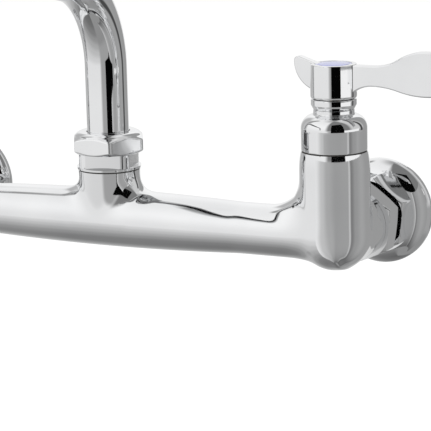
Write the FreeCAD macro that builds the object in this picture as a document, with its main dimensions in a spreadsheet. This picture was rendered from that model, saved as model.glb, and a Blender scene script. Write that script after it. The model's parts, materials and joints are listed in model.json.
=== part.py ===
import FreeCAD, Part
import math
import os
import Sketcher
from types import SimpleNamespace

# Commercial wall faucet: a cast bar with two quarter-turn lever valves, a swinging
# spout and two flanged wall inlets. Millimetres, +Z up, +X to the user's right,
# -Y out of the wall towards the user. The origin is on the wall, midway between the
# two inlets, level with their axes.

doc = FreeCAD.newDocument("wall_faucet")

# ---------------------------------------------------------------- driving sizes

SIZE_LIST = (
    # the whole faucet
    ("bar_centres", 203.2),         # between the two valve axes: 8 inches
    ("spout_reach", 203.2),         # riser axis to outlet axis: 8 inches
    # fits and gaps
    ("running_gap", 0.06),          # radial clearance of what turns
    ("thread_gap", 0.1),            # radial clearance of a screwed joint
    ("seat_gap", 0.05),             # between seated faces that stay still
    ("disc_gap", 0.02),             # between the two ceramic faces
    ("braze_gap", 0.05),            # radial gap of a brazed joint
    ("loose_gap", 0.3),             # radial clearance of a part that only passes through
    ("edge_break", 0.6),            # small chamfer on turned edges
    # cast body
    ("bar_cheek", 0.55),            # how much wider the bar is than the root of the neck on it
    ("bar_swell", 1.5),             # how much fatter the bar is at its middle
    ("bar_swell_half", 60.0),       # half the length that the swelling takes
    ("bar_bore", 5.5),
    ("neck_top", 20.7),
    ("neck_wall", 2.8),             # round the adapter's thread
    ("neck_draft", 1.4),            # how much slimmer the neck is at the bar's axis
    ("neck_blend", 8.0),
    ("tower_wall", 3.6),            # round the bonnet's thread
    ("tower_spot", 0.8),            # radius of the ground spot at its lowest point
    ("crown_draw", 0.8),            # how far the tower draws in under the bonnet
    ("crown_height", 7.2),
    ("crown_bend", 22.0),           # radius of that drawing-in, seen from the side
    ("tower_blend", 14.0),          # fillet between bar and tower
    ("arm_length", 20.0),           # bar axis to the shoulder behind the tower
    ("arm_step", 1.4),
    ("arm_round", 1.2),
    ("union_thread", 12.4),
    ("union_thread_length", 5.0),
    ("inlet_way", 6.5),             # radius of the water way behind the seat
    ("seat_level", 9.0),
    ("seat_way", 4.6),
    ("chamber_gap", 0.24),          # between the cartridge and the chamber's wall
    ("thread_step", 1.4),           # bonnet's thread outside the chamber's wall
    ("bonnet_thread_depth", 8.0),
    ("port_radius", 2.6),           # way from the valve chamber down into the bar
    ("port_inset", 1.0),            # how far its axis lies outside the chamber's wall
    ("port_rise", 3.88),            # its top above the moving disc
    # wall unions
    ("union_wall", 2.3),            # coupling nut's wall at its flats
    ("nut_lip", 1.4),
    ("nut_chamfer", 1.6),           # inwards, on the nut's corners
    ("nut_bevel", 1.0),             # the same chamfer along the axis
    ("washer_thick", 2.0),
    ("tail_wall", 2.5),
    ("tail_collar_inset", 0.5),
    ("tail_collar_thick", 1.15),
    ("tail_bite", 5.0),             # how far the tail screws into the flange
    ("neck_space", 4.8),            # bare tail between coupling nut and flange
    ("flange_radius", 22.2),        # 1-3/4 inches across
    ("flange_rim", 2.0),
    ("flange_dome", 5.6),           # height of the dome over the rim
    ("flange_dome_bend", 12.0),
    ("flange_web", 0.5),            # between the tail's end and the inlet's thread
    ("inlet_bore", 9.9),            # half-inch pipe thread, pitch radius
    ("inlet_depth", 12.0),
    # valve: stack inside the tower
    ("seal_thick", 3.2),
    ("seal_ledge", 1.2),            # how far the sleeve's foot reaches in under the disc
    ("seal_inner", 4.4),
    ("sleeve_wall", 0.9),
    ("disc_radius", 8.0),
    ("disc_thick", 3.2),
    ("disc_port_inner", 2.0),
    ("disc_port_outer", 6.2),
    ("disc_port_angle", 80.0),      # each port spans less than a quarter turn
    ("window_height", 3.6),
    ("window_width", 6.0),
    ("window_sill", 0.5),           # window's bottom above the moving disc
    ("tongue_thick", 2.6),          # blade under the stem that turns the disc
    ("tongue_width", 12.0),
    ("tongue_depth", 1.0),          # how deep it sits in the disc's slot
    ("drive_rise", 4.73),           # between the moving disc and the stem's flange
    ("carrier_thick", 2.0),         # the stem's flange under the bonnet
    ("carrier_inset", 0.3),
    ("thrust_thick", 0.8),
    ("stem_radius", 5.2),
    ("drive_square", 6.2),          # across flats, where the lever sits
    ("oring_radius", 1.0),
    ("oring_rise", 5.3),            # lower ring above the bonnet's seam
    ("oring_pitch", 4.0),
    ("oring_side", 0.1),            # play of a ring in its groove, each side
    ("gasket_thick", 0.5),
    ("gasket_inset", 0.5),
    # bonnet and gland
    ("bonnet_inset", 0.2),
    ("flats_depth", 0.3),
    ("flats_height", 8.2),
    ("flats_rim", 0.5),             # round rim above the flats
    ("dome_height", 5.5),
    ("dome_bend", 5.6),
    ("waist_height", 2.1),
    ("waist_round", 0.6),
    ("stub_wall", 1.64),
    ("stub_height", 2.8),
    ("stub_step", 1.3),
    ("gland_step", 0.9),
    ("gland_cover", 1.4),           # gland nut's top over the stub
    ("gland_taper", 1.8),
    # lever, with heights above the hub's bottom
    ("lever_gap", 0.5),
    ("hub_radius", 9.24),
    ("hub_wall", 1.89),
    ("hub_round", 0.9),
    ("hub_edge", 0.4),
    ("socket_depth", 7.1),
    ("drive_gap", 0.2),             # over the square's end
    ("web_thick", 2.4),
    ("recess_depth", 3.7),
    ("button_thick", 1.6),
    ("button_crown", 0.7),
    ("button_spot", 1.0),           # radius of the level middle of its crown
    ("blade_thick", 4.2),
    ("blade_round", 0.6),
    ("blade_wide_at", 38.5),
    ("blade_wide", 17.6),
    ("blade_middle", 10.4),         # height of the blade's centre line
    ("blade_neck_at", 17.0),
    ("blade_neck_top", 13.0),
    ("blade_neck_bottom", 4.9),
    ("blade_root_bottom", 1.7),
    ("blade_tip_at", 58.5),
    ("blade_tip_bend", 50.0),
    ("tail_end", 16.1),
    ("tail_tip", 14.0),
    ("tail_tip_bend", 1.8),
    ("tail_slope", 19.0),           # degrees
    ("tail_bend", 12.2),
    ("screw_radius", 2.0),
    ("screw_head", 3.6),
    ("screw_head_thick", 1.6),
    ("screw_length", 9.0),
    ("tap_extra", 1.0),             # tapped hole below the screw's end
    # spout base
    ("adapter_wall", 1.47),         # thread's radius over the tube's
    ("adapter_tail", 8.0),
    ("tube_ledge", 1.33),           # how far the adapter reaches in under the tube
    ("adapter_lip", 0.3),
    ("adapter_face_thick", 1.1),
    ("adapter_hex_wall", 1.8),      # flats outside the thread
    ("adapter_hex_height", 5.7),
    ("collar_wall", 1.97),
    ("collar_rise", 2.0),           # over the adapter's hexagon
    ("collar_thick", 2.6),
    ("stub_skin", 0.9),             # adapter's upper wall round the collar
    ("slip_space", 1.8),
    ("spout_nut_wall", 2.6),
    ("spout_nut_cover", 0.9),       # hexagon's top over the adapter
    ("spout_nut_bevel", 1.5),       # along the axis
    ("spout_nut_chamfer", 2.4),     # inwards
    ("spout_nut_dome", 4.5),
    ("spout_nut_rise", 1.5),
    ("tube_seal_rise", 2.0),        # lower ring above the tube's end
    ("tube_seal_pitch", 3.0),
    ("tube_seal_radius", 0.8),
    # spout tube
    ("tube_radius", 8.73),          # 11/16 inch tube
    ("tube_wall", 1.3),
    ("bend_start", 63.5),
    ("bend_radius", 40.0),
    ("spout_rise", 12.0),           # slope of the long run, degrees
    ("end_bend_radius", 32.0),
    ("outlet_drop", 14.0),
    ("fitting_wall", 1.87),         # end fitting's thread over the tube
    ("fitting_length", 9.0),
    ("fitting_bevel", 1.2),
    ("housing_wall", 1.5),
    ("housing_above", 7.0),
    ("housing_lip", 1.2),
    ("housing_bevel", 0.8),
    ("housing_step", 1.3),          # mouth's radius under the fitting's
    ("housing_flats_depth", 0.9),
    ("housing_flats_height", 5.0),
    ("insert_thick", 4.6),
    ("insert_web", 1.2),
    ("insert_rim", 1.5),
    ("screen_thick", 0.8),
    ("screen_hole", 0.8),
    ("outlet_washer_thick", 2.2),
)

UNION_TURN = 23.0       # the union hexagons' first corner above +X, degrees
BONNET_TURN = 21.3      # the bonnet hexagon's first corner from +X, degrees
SPOUT_NUT_TURN = -61.0  # the spout nut's first corner from +X, degrees
ADAPTER_TURN = -31.0    # the adapter's first corner from +X, degrees
MOVING_TURN = 90.0      # the moving disc's ports when the valve is closed, degrees
NECK_BLEND_SHARE = 0.88     # largest root blend, as a share of the height it has
TOWER_BLEND_SHARE = 0.9
EDGE_MARGIN = 1.0       # how far from its place an edge is still looked for
SMALL = 0.1
CUT_PAST = 4.0          # how far a cut runs past the face it starts from
OVERSIZE = 1.2          # width of a cut beyond the round part it crosses
WINDOW_COUNT = 4
SCREEN_HOLES = 8
FULL_TURN = 360.0
HEX_SIDES = 6
ROOT_POINT = (-1, 1)
HORIZONTAL_AXIS = -1
VERTICAL_AXIS = -2


class Size:
    """A number together with the sheet formula that gives it."""

    def __init__(self, value, formula):
        self.value = value
        self.formula = formula

    def _join(self, other, sign, value, swap=False):
        text = other.formula if isinstance(other, Size) else repr(float(other))
        left, right = (text, self.formula) if swap else (self.formula, text)
        return Size(value, f"({left} {sign} {right})")

    def __add__(self, other):
        return self._join(other, "+", self.value + plain(other))

    def __radd__(self, other):
        return self._join(other, "+", plain(other) + self.value, swap=True)

    def __sub__(self, other):
        return self._join(other, "-", self.value - plain(other))

    def __rsub__(self, other):
        return self._join(other, "-", plain(other) - self.value, swap=True)

    def __mul__(self, other):
        return self._join(other, "*", self.value * plain(other))

    def __rmul__(self, other):
        return self._join(other, "*", plain(other) * self.value, swap=True)

    def __truediv__(self, other):
        return self._join(other, "/", self.value / plain(other))

    def __neg__(self):
        return Size(-self.value, f"(-1 * {self.formula})")


def plain(number):
    """The bare value of a Size or of a number."""
    return number.value if isinstance(number, Size) else float(number)


def sine(angle):
    return Size(math.sin(math.radians(angle.value)), f"sin({angle.formula})")


def cosine(angle):
    return Size(math.cos(math.radians(angle.value)), f"cos({angle.formula})")


def square_root(number):
    return Size(math.sqrt(number.value), f"sqrt({number.formula})")


def smaller(first, second):
    return Size(min(first.value, second.value), f"min({first.formula}; {second.formula})")


def make_sheet():
    """Write the driving sizes into the sheet and return them by name."""
    sheet = doc.addObject("Spreadsheet::Sheet", "sizes")
    named = {}
    for row, (name, value) in enumerate(SIZE_LIST, start=1):
        sheet.set(f"A{row}", name)
        sheet.set(f"B{row}", str(value))
        sheet.setAlias(f"B{row}", name)
        named[name] = Size(value, f"sizes.{name}")
    doc.recompute()
    return SimpleNamespace(**named)


S = make_sheet()
PARTS = []


# ------------------------------------------ radii and levels that follow from them

HALF = S.bar_centres / 2

# the valve, from its discs outwards
SLEEVE_INNER = S.disc_radius + S.running_gap
SLEEVE_OUTER = SLEEVE_INNER + S.sleeve_wall
SEAL_RADIUS = S.disc_radius - S.seal_ledge
CARRIER_RADIUS = S.disc_radius - S.carrier_inset
CHAMBER_RADIUS = SLEEVE_OUTER + S.chamber_gap
BONNET_THREAD = CHAMBER_RADIUS + S.thread_step
TOWER_RADIUS = BONNET_THREAD + S.tower_wall
TOWER_CROWN = TOWER_RADIUS - S.crown_draw
BONNET_RADIUS = TOWER_CROWN - S.bonnet_inset
BONNET_FLATS = 2 * (BONNET_RADIUS - S.flats_depth)

# the stem and what stands round it
STEM_BORE = S.stem_radius + S.running_gap
STUB_RADIUS = STEM_BORE + S.stub_wall
WAIST_RADIUS = STUB_RADIUS + S.stub_step
GLAND_RADIUS = WAIST_RADIUS + S.gland_step
BUTTON_RADIUS = S.hub_radius - S.hub_wall - S.seat_gap

# the valve, from its seat upwards
SEAL_TOP = S.seat_level + S.seal_thick
FIXED_TOP = SEAL_TOP + S.disc_thick
MOVING_BOTTOM = FIXED_TOP + S.disc_gap
MOVING_TOP = MOVING_BOTTOM + S.disc_thick
CARRIER_BOTTOM = MOVING_TOP + S.drive_rise
CARRIER_TOP = CARRIER_BOTTOM + S.carrier_thick
BONNET_BOTTOM = CARRIER_TOP + S.thrust_thick + 2 * S.seat_gap
TOWER_TOP = BONNET_BOTTOM - S.seat_gap + S.bonnet_thread_depth
TOWER_SHOULDER = TOWER_TOP - S.crown_height
GASKET_TOP = TOWER_TOP + S.gasket_thick
ORING_LEVEL = GASKET_TOP + S.oring_rise
FLATS_TOP = GASKET_TOP + S.flats_height
DOME_START = FLATS_TOP + S.flats_rim
DOME_TOP = DOME_START + S.dome_height
WAIST_TOP = DOME_TOP + S.waist_height
STUB_TOP = WAIST_TOP + S.stub_height
GLAND_TOP = STUB_TOP + S.gland_cover
HUB_BOTTOM = GLAND_TOP + S.lever_gap
WEB_BOTTOM = HUB_BOTTOM + S.socket_depth
DRIVE_TOP = WEB_BOTTOM - S.drive_gap
WEB_TOP = WEB_BOTTOM + S.web_thick
HUB_TOP = WEB_TOP + S.recess_depth
SHOULDER = HUB_BOTTOM - S.seat_gap

# the unions, outwards and from the bar's axis back to the wall
ARM_RADIUS = S.union_thread + S.arm_step
TAIL_COLLAR = S.union_thread - S.tail_collar_inset
TAIL_RADIUS = S.inlet_way + S.tail_wall
UNION_BORE = S.union_thread + S.thread_gap
UNION_FLATS = 2 * (UNION_BORE + S.union_wall)
THREAD_END = S.arm_length + S.union_thread_length
NUT_FRONT = S.arm_length + 2 * S.seat_gap
WASHER_START = THREAD_END + S.seat_gap
WASHER_END = WASHER_START + S.washer_thick
TAIL_START = WASHER_END + S.seat_gap
TAIL_STEP = TAIL_START + S.tail_collar_thick
NUT_BACK = TAIL_STEP + S.seat_gap + S.nut_lip
FLANGE_FRONT = NUT_BACK + S.neck_space
WALL = FLANGE_FRONT + S.tail_bite + S.flange_web + S.inlet_depth
BAR_Y = -WALL

# the spout's seat, from the tube outwards and from the neck upwards
TUBE_BORE = S.tube_radius + S.running_gap
TUBE_HOLE = S.tube_radius + S.loose_gap
TUBE_SLEEVE = S.tube_radius + S.braze_gap
ADAPTER_WAY = S.tube_radius - S.tube_ledge
ADAPTER_THREAD = S.tube_radius + S.adapter_wall
NECK_RADIUS = ADAPTER_THREAD + S.neck_wall
NECK_ROOT = NECK_RADIUS - S.neck_draft
BAR_MIDDLE = NECK_ROOT + S.bar_cheek
BAR_RADIUS = BAR_MIDDLE - S.bar_swell
ADAPTER_FACE = NECK_RADIUS + S.adapter_lip
ADAPTER_FLATS = 2 * (ADAPTER_THREAD + S.adapter_hex_wall)
COLLAR_RADIUS = S.tube_radius + S.collar_wall
ADAPTER_STUB = COLLAR_RADIUS + S.stub_skin
SPOUT_NUT_FLATS = 2 * (ADAPTER_STUB + S.spout_nut_wall)
FACE_BOTTOM = S.neck_top + S.gasket_thick
HEX_BOTTOM = FACE_BOTTOM + S.adapter_face_thick
TUBE_BOTTOM = HEX_BOTTOM + S.loose_gap
TUBE_SEAL_LEVEL = TUBE_BOTTOM + S.tube_seal_rise
ADAPTER_HEX_TOP = HEX_BOTTOM + S.adapter_hex_height
COLLAR_BOTTOM = ADAPTER_HEX_TOP + S.collar_rise
COLLAR_TOP = COLLAR_BOTTOM + S.collar_thick
ADAPTER_STUB_TOP = COLLAR_TOP + S.slip_space
SPOUT_NUT_HEX_TOP = ADAPTER_STUB_TOP + S.spout_nut_cover
SPOUT_NUT_TOP = SPOUT_NUT_HEX_TOP + S.spout_nut_rise

# the outlet, outwards and down to the aerator's mouth
FITTING_RADIUS = S.tube_radius + S.fitting_wall
HOUSING_BORE = FITTING_RADIUS + S.thread_gap
HOUSING_RADIUS = HOUSING_BORE + S.housing_wall
HOUSING_MOUTH = FITTING_RADIUS - S.housing_step
HOUSING_FLATS = 2 * (HOUSING_RADIUS - S.housing_flats_depth)
SCREEN_TOP = -S.seat_gap - S.outlet_washer_thick - S.seat_gap
INSERT_TOP = SCREEN_TOP - S.screen_thick - S.seat_gap
INSERT_BOTTOM = INSERT_TOP - S.insert_thick
HOUSING_BOTTOM = INSERT_BOTTOM - S.seat_gap - S.housing_lip

# the spout's path, out from its riser
RISE_SINE = sine(S.spout_rise)
RISE_COSINE = cosine(S.spout_rise)
FIRST_BEND_OUT = S.bend_radius * (1 - RISE_SINE)
FIRST_BEND_UP = S.bend_start + S.bend_radius * RISE_COSINE
END_BEND_OUT = S.end_bend_radius * (1 + RISE_SINE)
RUN_OUT = S.spout_reach - FIRST_BEND_OUT - END_BEND_OUT
RUN_UP = RUN_OUT * RISE_SINE / RISE_COSINE
END_BEND_DOWN = S.end_bend_radius * RISE_COSINE
OUTLET_LEVEL = FIRST_BEND_UP + RUN_UP - END_BEND_DOWN - S.outlet_drop


# ------------------------------------------------------------- modelling helpers

def bind(thing, prop, number):
    """Give a property its value, live when the number comes from the sheet."""
    if isinstance(number, Size):
        thing.setExpression(prop, number.formula)
    else:
        thing.setExpression(prop, repr(float(number)))


def new_body(label, x=0.0, y=0.0, z=0.0):
    body = doc.addObject("PartDesign::Body", label)
    body.Label = label
    for axis, number in zip("xyz", (x, y, z)):
        bind(body, f"Placement.Base.{axis}", number)
    PARTS.append(body)
    return body


def origin_plane(body, role):
    for feature in body.Origin.OriginFeatures:
        if feature.Role == role:
            return feature
    raise RuntimeError(f"no plane {role}")


def new_sketch(body, name, plane, shift=0.0, level=0.0):
    """A sketch on an origin plane, moved sideways by shift and along its normal by level."""
    sketch = body.newObject("Sketcher::SketchObject", name)
    sketch.AttachmentSupport = [(origin_plane(body, plane), "")]
    sketch.MapMode = "FlatFace"
    bind(sketch, "AttachmentOffset.Base.x", shift)
    bind(sketch, "AttachmentOffset.Base.z", level)
    return sketch


def pin_point(sketch, edge, end, across, up):
    """Hold one end of an edge at its two coordinates."""
    for kind, number, axis in (("DistanceX", across, VERTICAL_AXIS), ("DistanceY", up, HORIZONTAL_AXIS)):
        if not isinstance(number, Size) and number == 0:
            sketch.addConstraint(Sketcher.Constraint("PointOnObject", edge, end, axis))
            continue
        value = plain(number)
        index = sketch.addConstraint(Sketcher.Constraint(kind, *ROOT_POINT, edge, end, value))
        if isinstance(number, Size):
            sketch.setExpression(f"Constraints[{index}]", number.formula)


def corner(across, up):
    """The next corner of an outline, reached by a straight line."""
    return (across, up, None, 0)


def curve(across, up, radius, bend):
    """The next corner, reached by an arc that turns left (+1) or right (-1)."""
    return (across, up, radius, bend)


def arc_between(start, end, radius, bend):
    """The arc of under a half circle between two points."""
    chord = end - start
    middle = (start + end) * 0.5
    rise = math.sqrt(max(radius ** 2 - (chord.Length / 2) ** 2, 0.0))
    side = FreeCAD.Vector(-chord.y, chord.x, 0).normalize()
    centre = middle + side * rise * bend
    first, last = (start, end) if bend > 0 else (end, start)
    angles = [math.atan2(p.y - centre.y, p.x - centre.x) for p in (first, last)]
    circle = Part.Circle(centre, FreeCAD.Vector(0, 0, 1), radius)
    return Part.ArcOfCircle(circle, angles[0], angles[1])


def draw_outline(sketch, corners, closed=True):
    """Draw lines and arcs through the corners, each held by its own sizes."""
    points = [FreeCAD.Vector(plain(c[0]), plain(c[1]), 0) for c in corners]
    count = len(corners) if closed else len(corners) - 1
    first_edge = sketch.GeometryCount
    ends = []
    for step in range(count):
        target = (step + 1) % len(corners)
        radius, bend = corners[target][2:]
        if radius is None:
            edge = sketch.addGeometry(Part.LineSegment(points[step], points[target]))
            ends.append((edge, 1, 2))
            continue
        edge = sketch.addGeometry(arc_between(points[step], points[target], plain(radius), bend))
        ends.append((edge, 1, 2) if bend > 0 else (edge, 2, 1))
        index = sketch.addConstraint(Sketcher.Constraint("Radius", edge, plain(radius)))
        bind(sketch, f"Constraints[{index}]", radius)
    for step, (edge, start, end) in enumerate(ends):
        pin_point(sketch, edge, start, *corners[step][:2])
        if step + 1 < len(ends):
            follower = ends[step + 1]
            sketch.addConstraint(Sketcher.Constraint("Coincident", edge, end, follower[0], follower[1]))
        elif closed:
            sketch.addConstraint(Sketcher.Constraint("Coincident", edge, end, first_edge, ends[0][1]))
        else:
            pin_point(sketch, edge, end, *corners[-1][:2])


def draw_circle(sketch, radius, across=0.0, up=0.0):
    centre = FreeCAD.Vector(plain(across), plain(up), 0)
    edge = sketch.addGeometry(Part.Circle(centre, FreeCAD.Vector(0, 0, 1), plain(radius)))
    index = sketch.addConstraint(Sketcher.Constraint("Radius", edge, plain(radius)))
    bind(sketch, f"Constraints[{index}]", radius)
    pin_point(sketch, edge, 3, across, up)


def turn_profile(body, name, corners, plane="XZ_Plane", shift=0.0, axis="V_Axis", cut=False):
    """Turn an outline round an axis of its sketch, to add or to cut."""
    sketch = new_sketch(body, f"{name}_sketch", plane, shift=shift)
    draw_outline(sketch, corners)
    feature = body.newObject("PartDesign::Groove" if cut else "PartDesign::Revolution", name)
    feature.Profile = sketch
    feature.ReferenceAxis = (sketch, [axis])
    feature.Angle = FULL_TURN
    sketch.Visibility = False
    return feature


def pad_sketch(body, name, sketch, length, midplane=False, reverse=False):
    feature = body.newObject("PartDesign::Pad", name)
    feature.Profile = sketch
    feature.Midplane = midplane
    feature.Reversed = reverse
    bind(feature, "Length", length)
    return feature


def cut_sketch(body, name, sketch, length, midplane=False, reverse=False):
    """Cut a sketch into its body: against the sketch's normal unless reversed."""
    feature = body.newObject("PartDesign::Pocket", name)
    feature.Profile = sketch
    feature.Midplane = midplane
    feature.Reversed = reverse
    bind(feature, "Length", length)
    return feature


def drill(body, name, plane, radius, length, shift=0.0, level=0.0, up=0.0, reverse=False, midplane=False):
    sketch = new_sketch(body, f"{name}_sketch", plane, shift=shift, level=level)
    draw_circle(sketch, radius, 0.0, up)
    return cut_sketch(body, name, sketch, length, midplane=midplane, reverse=reverse)


def hexagon_corners(flats, turn):
    """The corners of a hexagon, from its size across flats."""
    out = []
    for index in range(HEX_SIDES):
        angle = math.radians(turn + index * FULL_TURN / HEX_SIDES)
        reach = 1 / math.sqrt(3)
        out.append(corner(flats * (reach * math.cos(angle)), flats * (reach * math.sin(angle))))
    return out


def box_corners(half, low, high):
    """The corners of a rectangle that is centred sideways."""
    return [corner(-half, low), corner(half, low), corner(half, high), corner(-half, high)]


def cut_hexagon(body, name, plane, flats, turn, level, length):
    """Mill a turned body down to a hexagon over one stretch of its length."""
    sketch = new_sketch(body, f"{name}_sketch", plane, level=level)
    draw_outline(sketch, hexagon_corners(flats, turn))
    draw_circle(sketch, flats)
    return cut_sketch(body, name, sketch, length)


def repeat_round(body, name, feature, count):
    """Repeat a cut evenly about the body's vertical axis."""
    spread = body.newObject("PartDesign::PolarPattern", name)
    spread.Originals = [feature]
    spread.Axis = (origin_plane(body, "Z_Axis"), [""])
    spread.Angle = FULL_TURN
    spread.Occurrences = count
    body.Tip = spread


def ring(label, place, inner, outer, bottom, top, plane="XZ_Plane"):
    """A plain washer turned from a square section."""
    body = new_body(label, *place)
    turn_profile(body, f"{label}_turn", [
        corner(inner, bottom), corner(outer, bottom), corner(outer, top), corner(inner, top),
    ], plane=plane)
    return body


def seal_ring(label, place, pitch, thick, levels):
    """One or more o-rings about a vertical axis, as one group of separate solids."""
    rings = []
    for index, level in enumerate(levels):
        torus = doc.addObject("Part::Torus", f"{label}_{index + 1}")
        bind(torus, "Radius1", pitch)
        bind(torus, "Radius2", thick)
        bind(torus, "Placement.Base.z", level)
        rings.append(torus)
    group = doc.addObject("Part::Compound", label)
    group.Label = label
    group.Links = rings
    for axis, number in zip("xyz", place):
        bind(group, f"Placement.Base.{axis}", number)
    PARTS.append(group)
    return group


def edges_between(shape, test):
    """Names of the edges whose middle point passes a test."""
    names = []
    for index, edge in enumerate(shape.Edges, start=1):
        if test(edge):
            names.append(f"Edge{index}")
    return names


def add_fillet(body, name, radius, test):
    """Round the tip's edges that pass a test."""
    doc.recompute()
    base = body.Tip
    names = edges_between(base.Shape, test)
    feature = body.newObject("PartDesign::Fillet", name)
    feature.Base = (base, names)
    bind(feature, "Radius", radius)
    return feature


SIDES = (("left", -1), ("right", 1))


# -------------------------------------------------------------------- cast body

def is_neck_root(edge):
    """The curve where the neck leaves the bar, on one side or the other."""
    box = edge.BoundBox
    low = box.ZMin > 0 and box.ZMax < plain(S.neck_top) - EDGE_MARGIN
    near = max(abs(box.XMin), abs(box.XMax)) < plain(NECK_RADIUS) + 2 * EDGE_MARGIN
    return low and near and box.XLength > EDGE_MARGIN


def is_tower_root(edge):
    """The curve where the bar runs into one of the two towers."""
    box = edge.BoundBox
    inner = plain(HALF) - plain(TOWER_RADIUS) - EDGE_MARGIN
    outer = plain(HALF) - EDGE_MARGIN
    near = min(abs(box.XMin), abs(box.XMax)) > inner and max(abs(box.XMin), abs(box.XMax)) < outer
    return near and box.YLength > EDGE_MARGIN and box.ZMax < plain(BAR_RADIUS) + SMALL


def cast_outside(body):
    """Bar, neck and towers with their blends."""
    swell_bend = (S.bar_swell_half * S.bar_swell_half + S.bar_swell * S.bar_swell) / (2 * S.bar_swell)
    turn_profile(body, "bar", [
        corner(-HALF, 0), corner(HALF, 0), corner(HALF, -BAR_RADIUS),
        corner(S.bar_swell_half, -BAR_RADIUS),
        curve(-S.bar_swell_half, -BAR_RADIUS, swell_bend, -1),
        corner(-HALF, -BAR_RADIUS),
    ], axis="H_Axis")
    turn_profile(body, "neck", [
        corner(0, 0), corner(NECK_ROOT, 0), corner(NECK_RADIUS, S.neck_top), corner(0, S.neck_top),
    ])
    neck_blend = smaller(S.neck_blend, NECK_BLEND_SHARE * (S.neck_top - BAR_MIDDLE))
    add_fillet(body, "neck_root_fillet", neck_blend, is_neck_root)
    spot_level = -square_root(TOWER_RADIUS * TOWER_RADIUS - S.tower_spot * S.tower_spot)
    for name, side in SIDES:
        turn_profile(body, f"tower_{name}", [
            corner(0, spot_level), corner(side * S.tower_spot, spot_level),
            curve(side * TOWER_RADIUS, 0, TOWER_RADIUS, side),
            corner(side * TOWER_RADIUS, TOWER_SHOULDER),
            curve(side * TOWER_CROWN, TOWER_TOP, S.crown_bend, side),
            corner(0, TOWER_TOP),
        ], shift=side * HALF)
    tower_blend = smaller(S.tower_blend, TOWER_BLEND_SHARE * (TOWER_SHOULDER - BAR_RADIUS))
    add_fillet(body, "tower_root_fillet", tower_blend, is_tower_root)
    for name, side in SIDES:
        turn_profile(body, f"arm_{name}", [
            corner(0, 0), corner(ARM_RADIUS, 0),
            corner(ARM_RADIUS, S.arm_length - S.arm_round),
            curve(ARM_RADIUS - S.arm_round, S.arm_length, S.arm_round, 1),
            corner(S.union_thread, S.arm_length), corner(S.union_thread, THREAD_END),
            corner(0, THREAD_END),
        ], plane="XY_Plane", shift=side * HALF)


def cast_water_ways(body):
    """The bar's bore, the neck's socket and each valve's chamber, seat and inlet."""
    drill(body, "bar_bore", "YZ_Plane", S.bar_bore, S.bar_centres - 2 * CHAMBER_RADIUS, midplane=True)
    drill(body, "neck_way", "XY_Plane", ADAPTER_WAY, S.neck_top, level=S.neck_top)
    drill(body, "neck_socket", "XY_Plane", ADAPTER_THREAD + S.thread_gap,
          S.adapter_tail + S.seat_gap, level=S.neck_top)
    port_top = MOVING_TOP + S.port_rise
    for name, side in SIDES:
        place = side * HALF
        drill(body, f"chamber_{name}", "XY_Plane", CHAMBER_RADIUS,
              TOWER_TOP - S.seat_level, shift=place, level=TOWER_TOP)
        drill(body, f"bonnet_socket_{name}", "XY_Plane", BONNET_THREAD,
              S.bonnet_thread_depth, shift=place, level=TOWER_TOP)
        drill(body, f"seat_hole_{name}", "XY_Plane", S.seat_way,
              S.seat_level, shift=place, level=S.seat_level)
        drill(body, f"inlet_way_{name}", "XZ_Plane", S.inlet_way, THREAD_END + S.inlet_way,
              shift=place, level=-THREAD_END, reverse=True)
        port_at = side * (HALF - CHAMBER_RADIUS - S.port_inset)
        drill(body, f"port_{name}", "XY_Plane", S.port_radius, port_top, shift=port_at, level=port_top)


def make_faucet_body():
    body = new_body("faucet_body", 0.0, BAR_Y, 0.0)
    cast_outside(body)
    cast_water_ways(body)


# ------------------------------------------------------------------ wall unions

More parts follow.
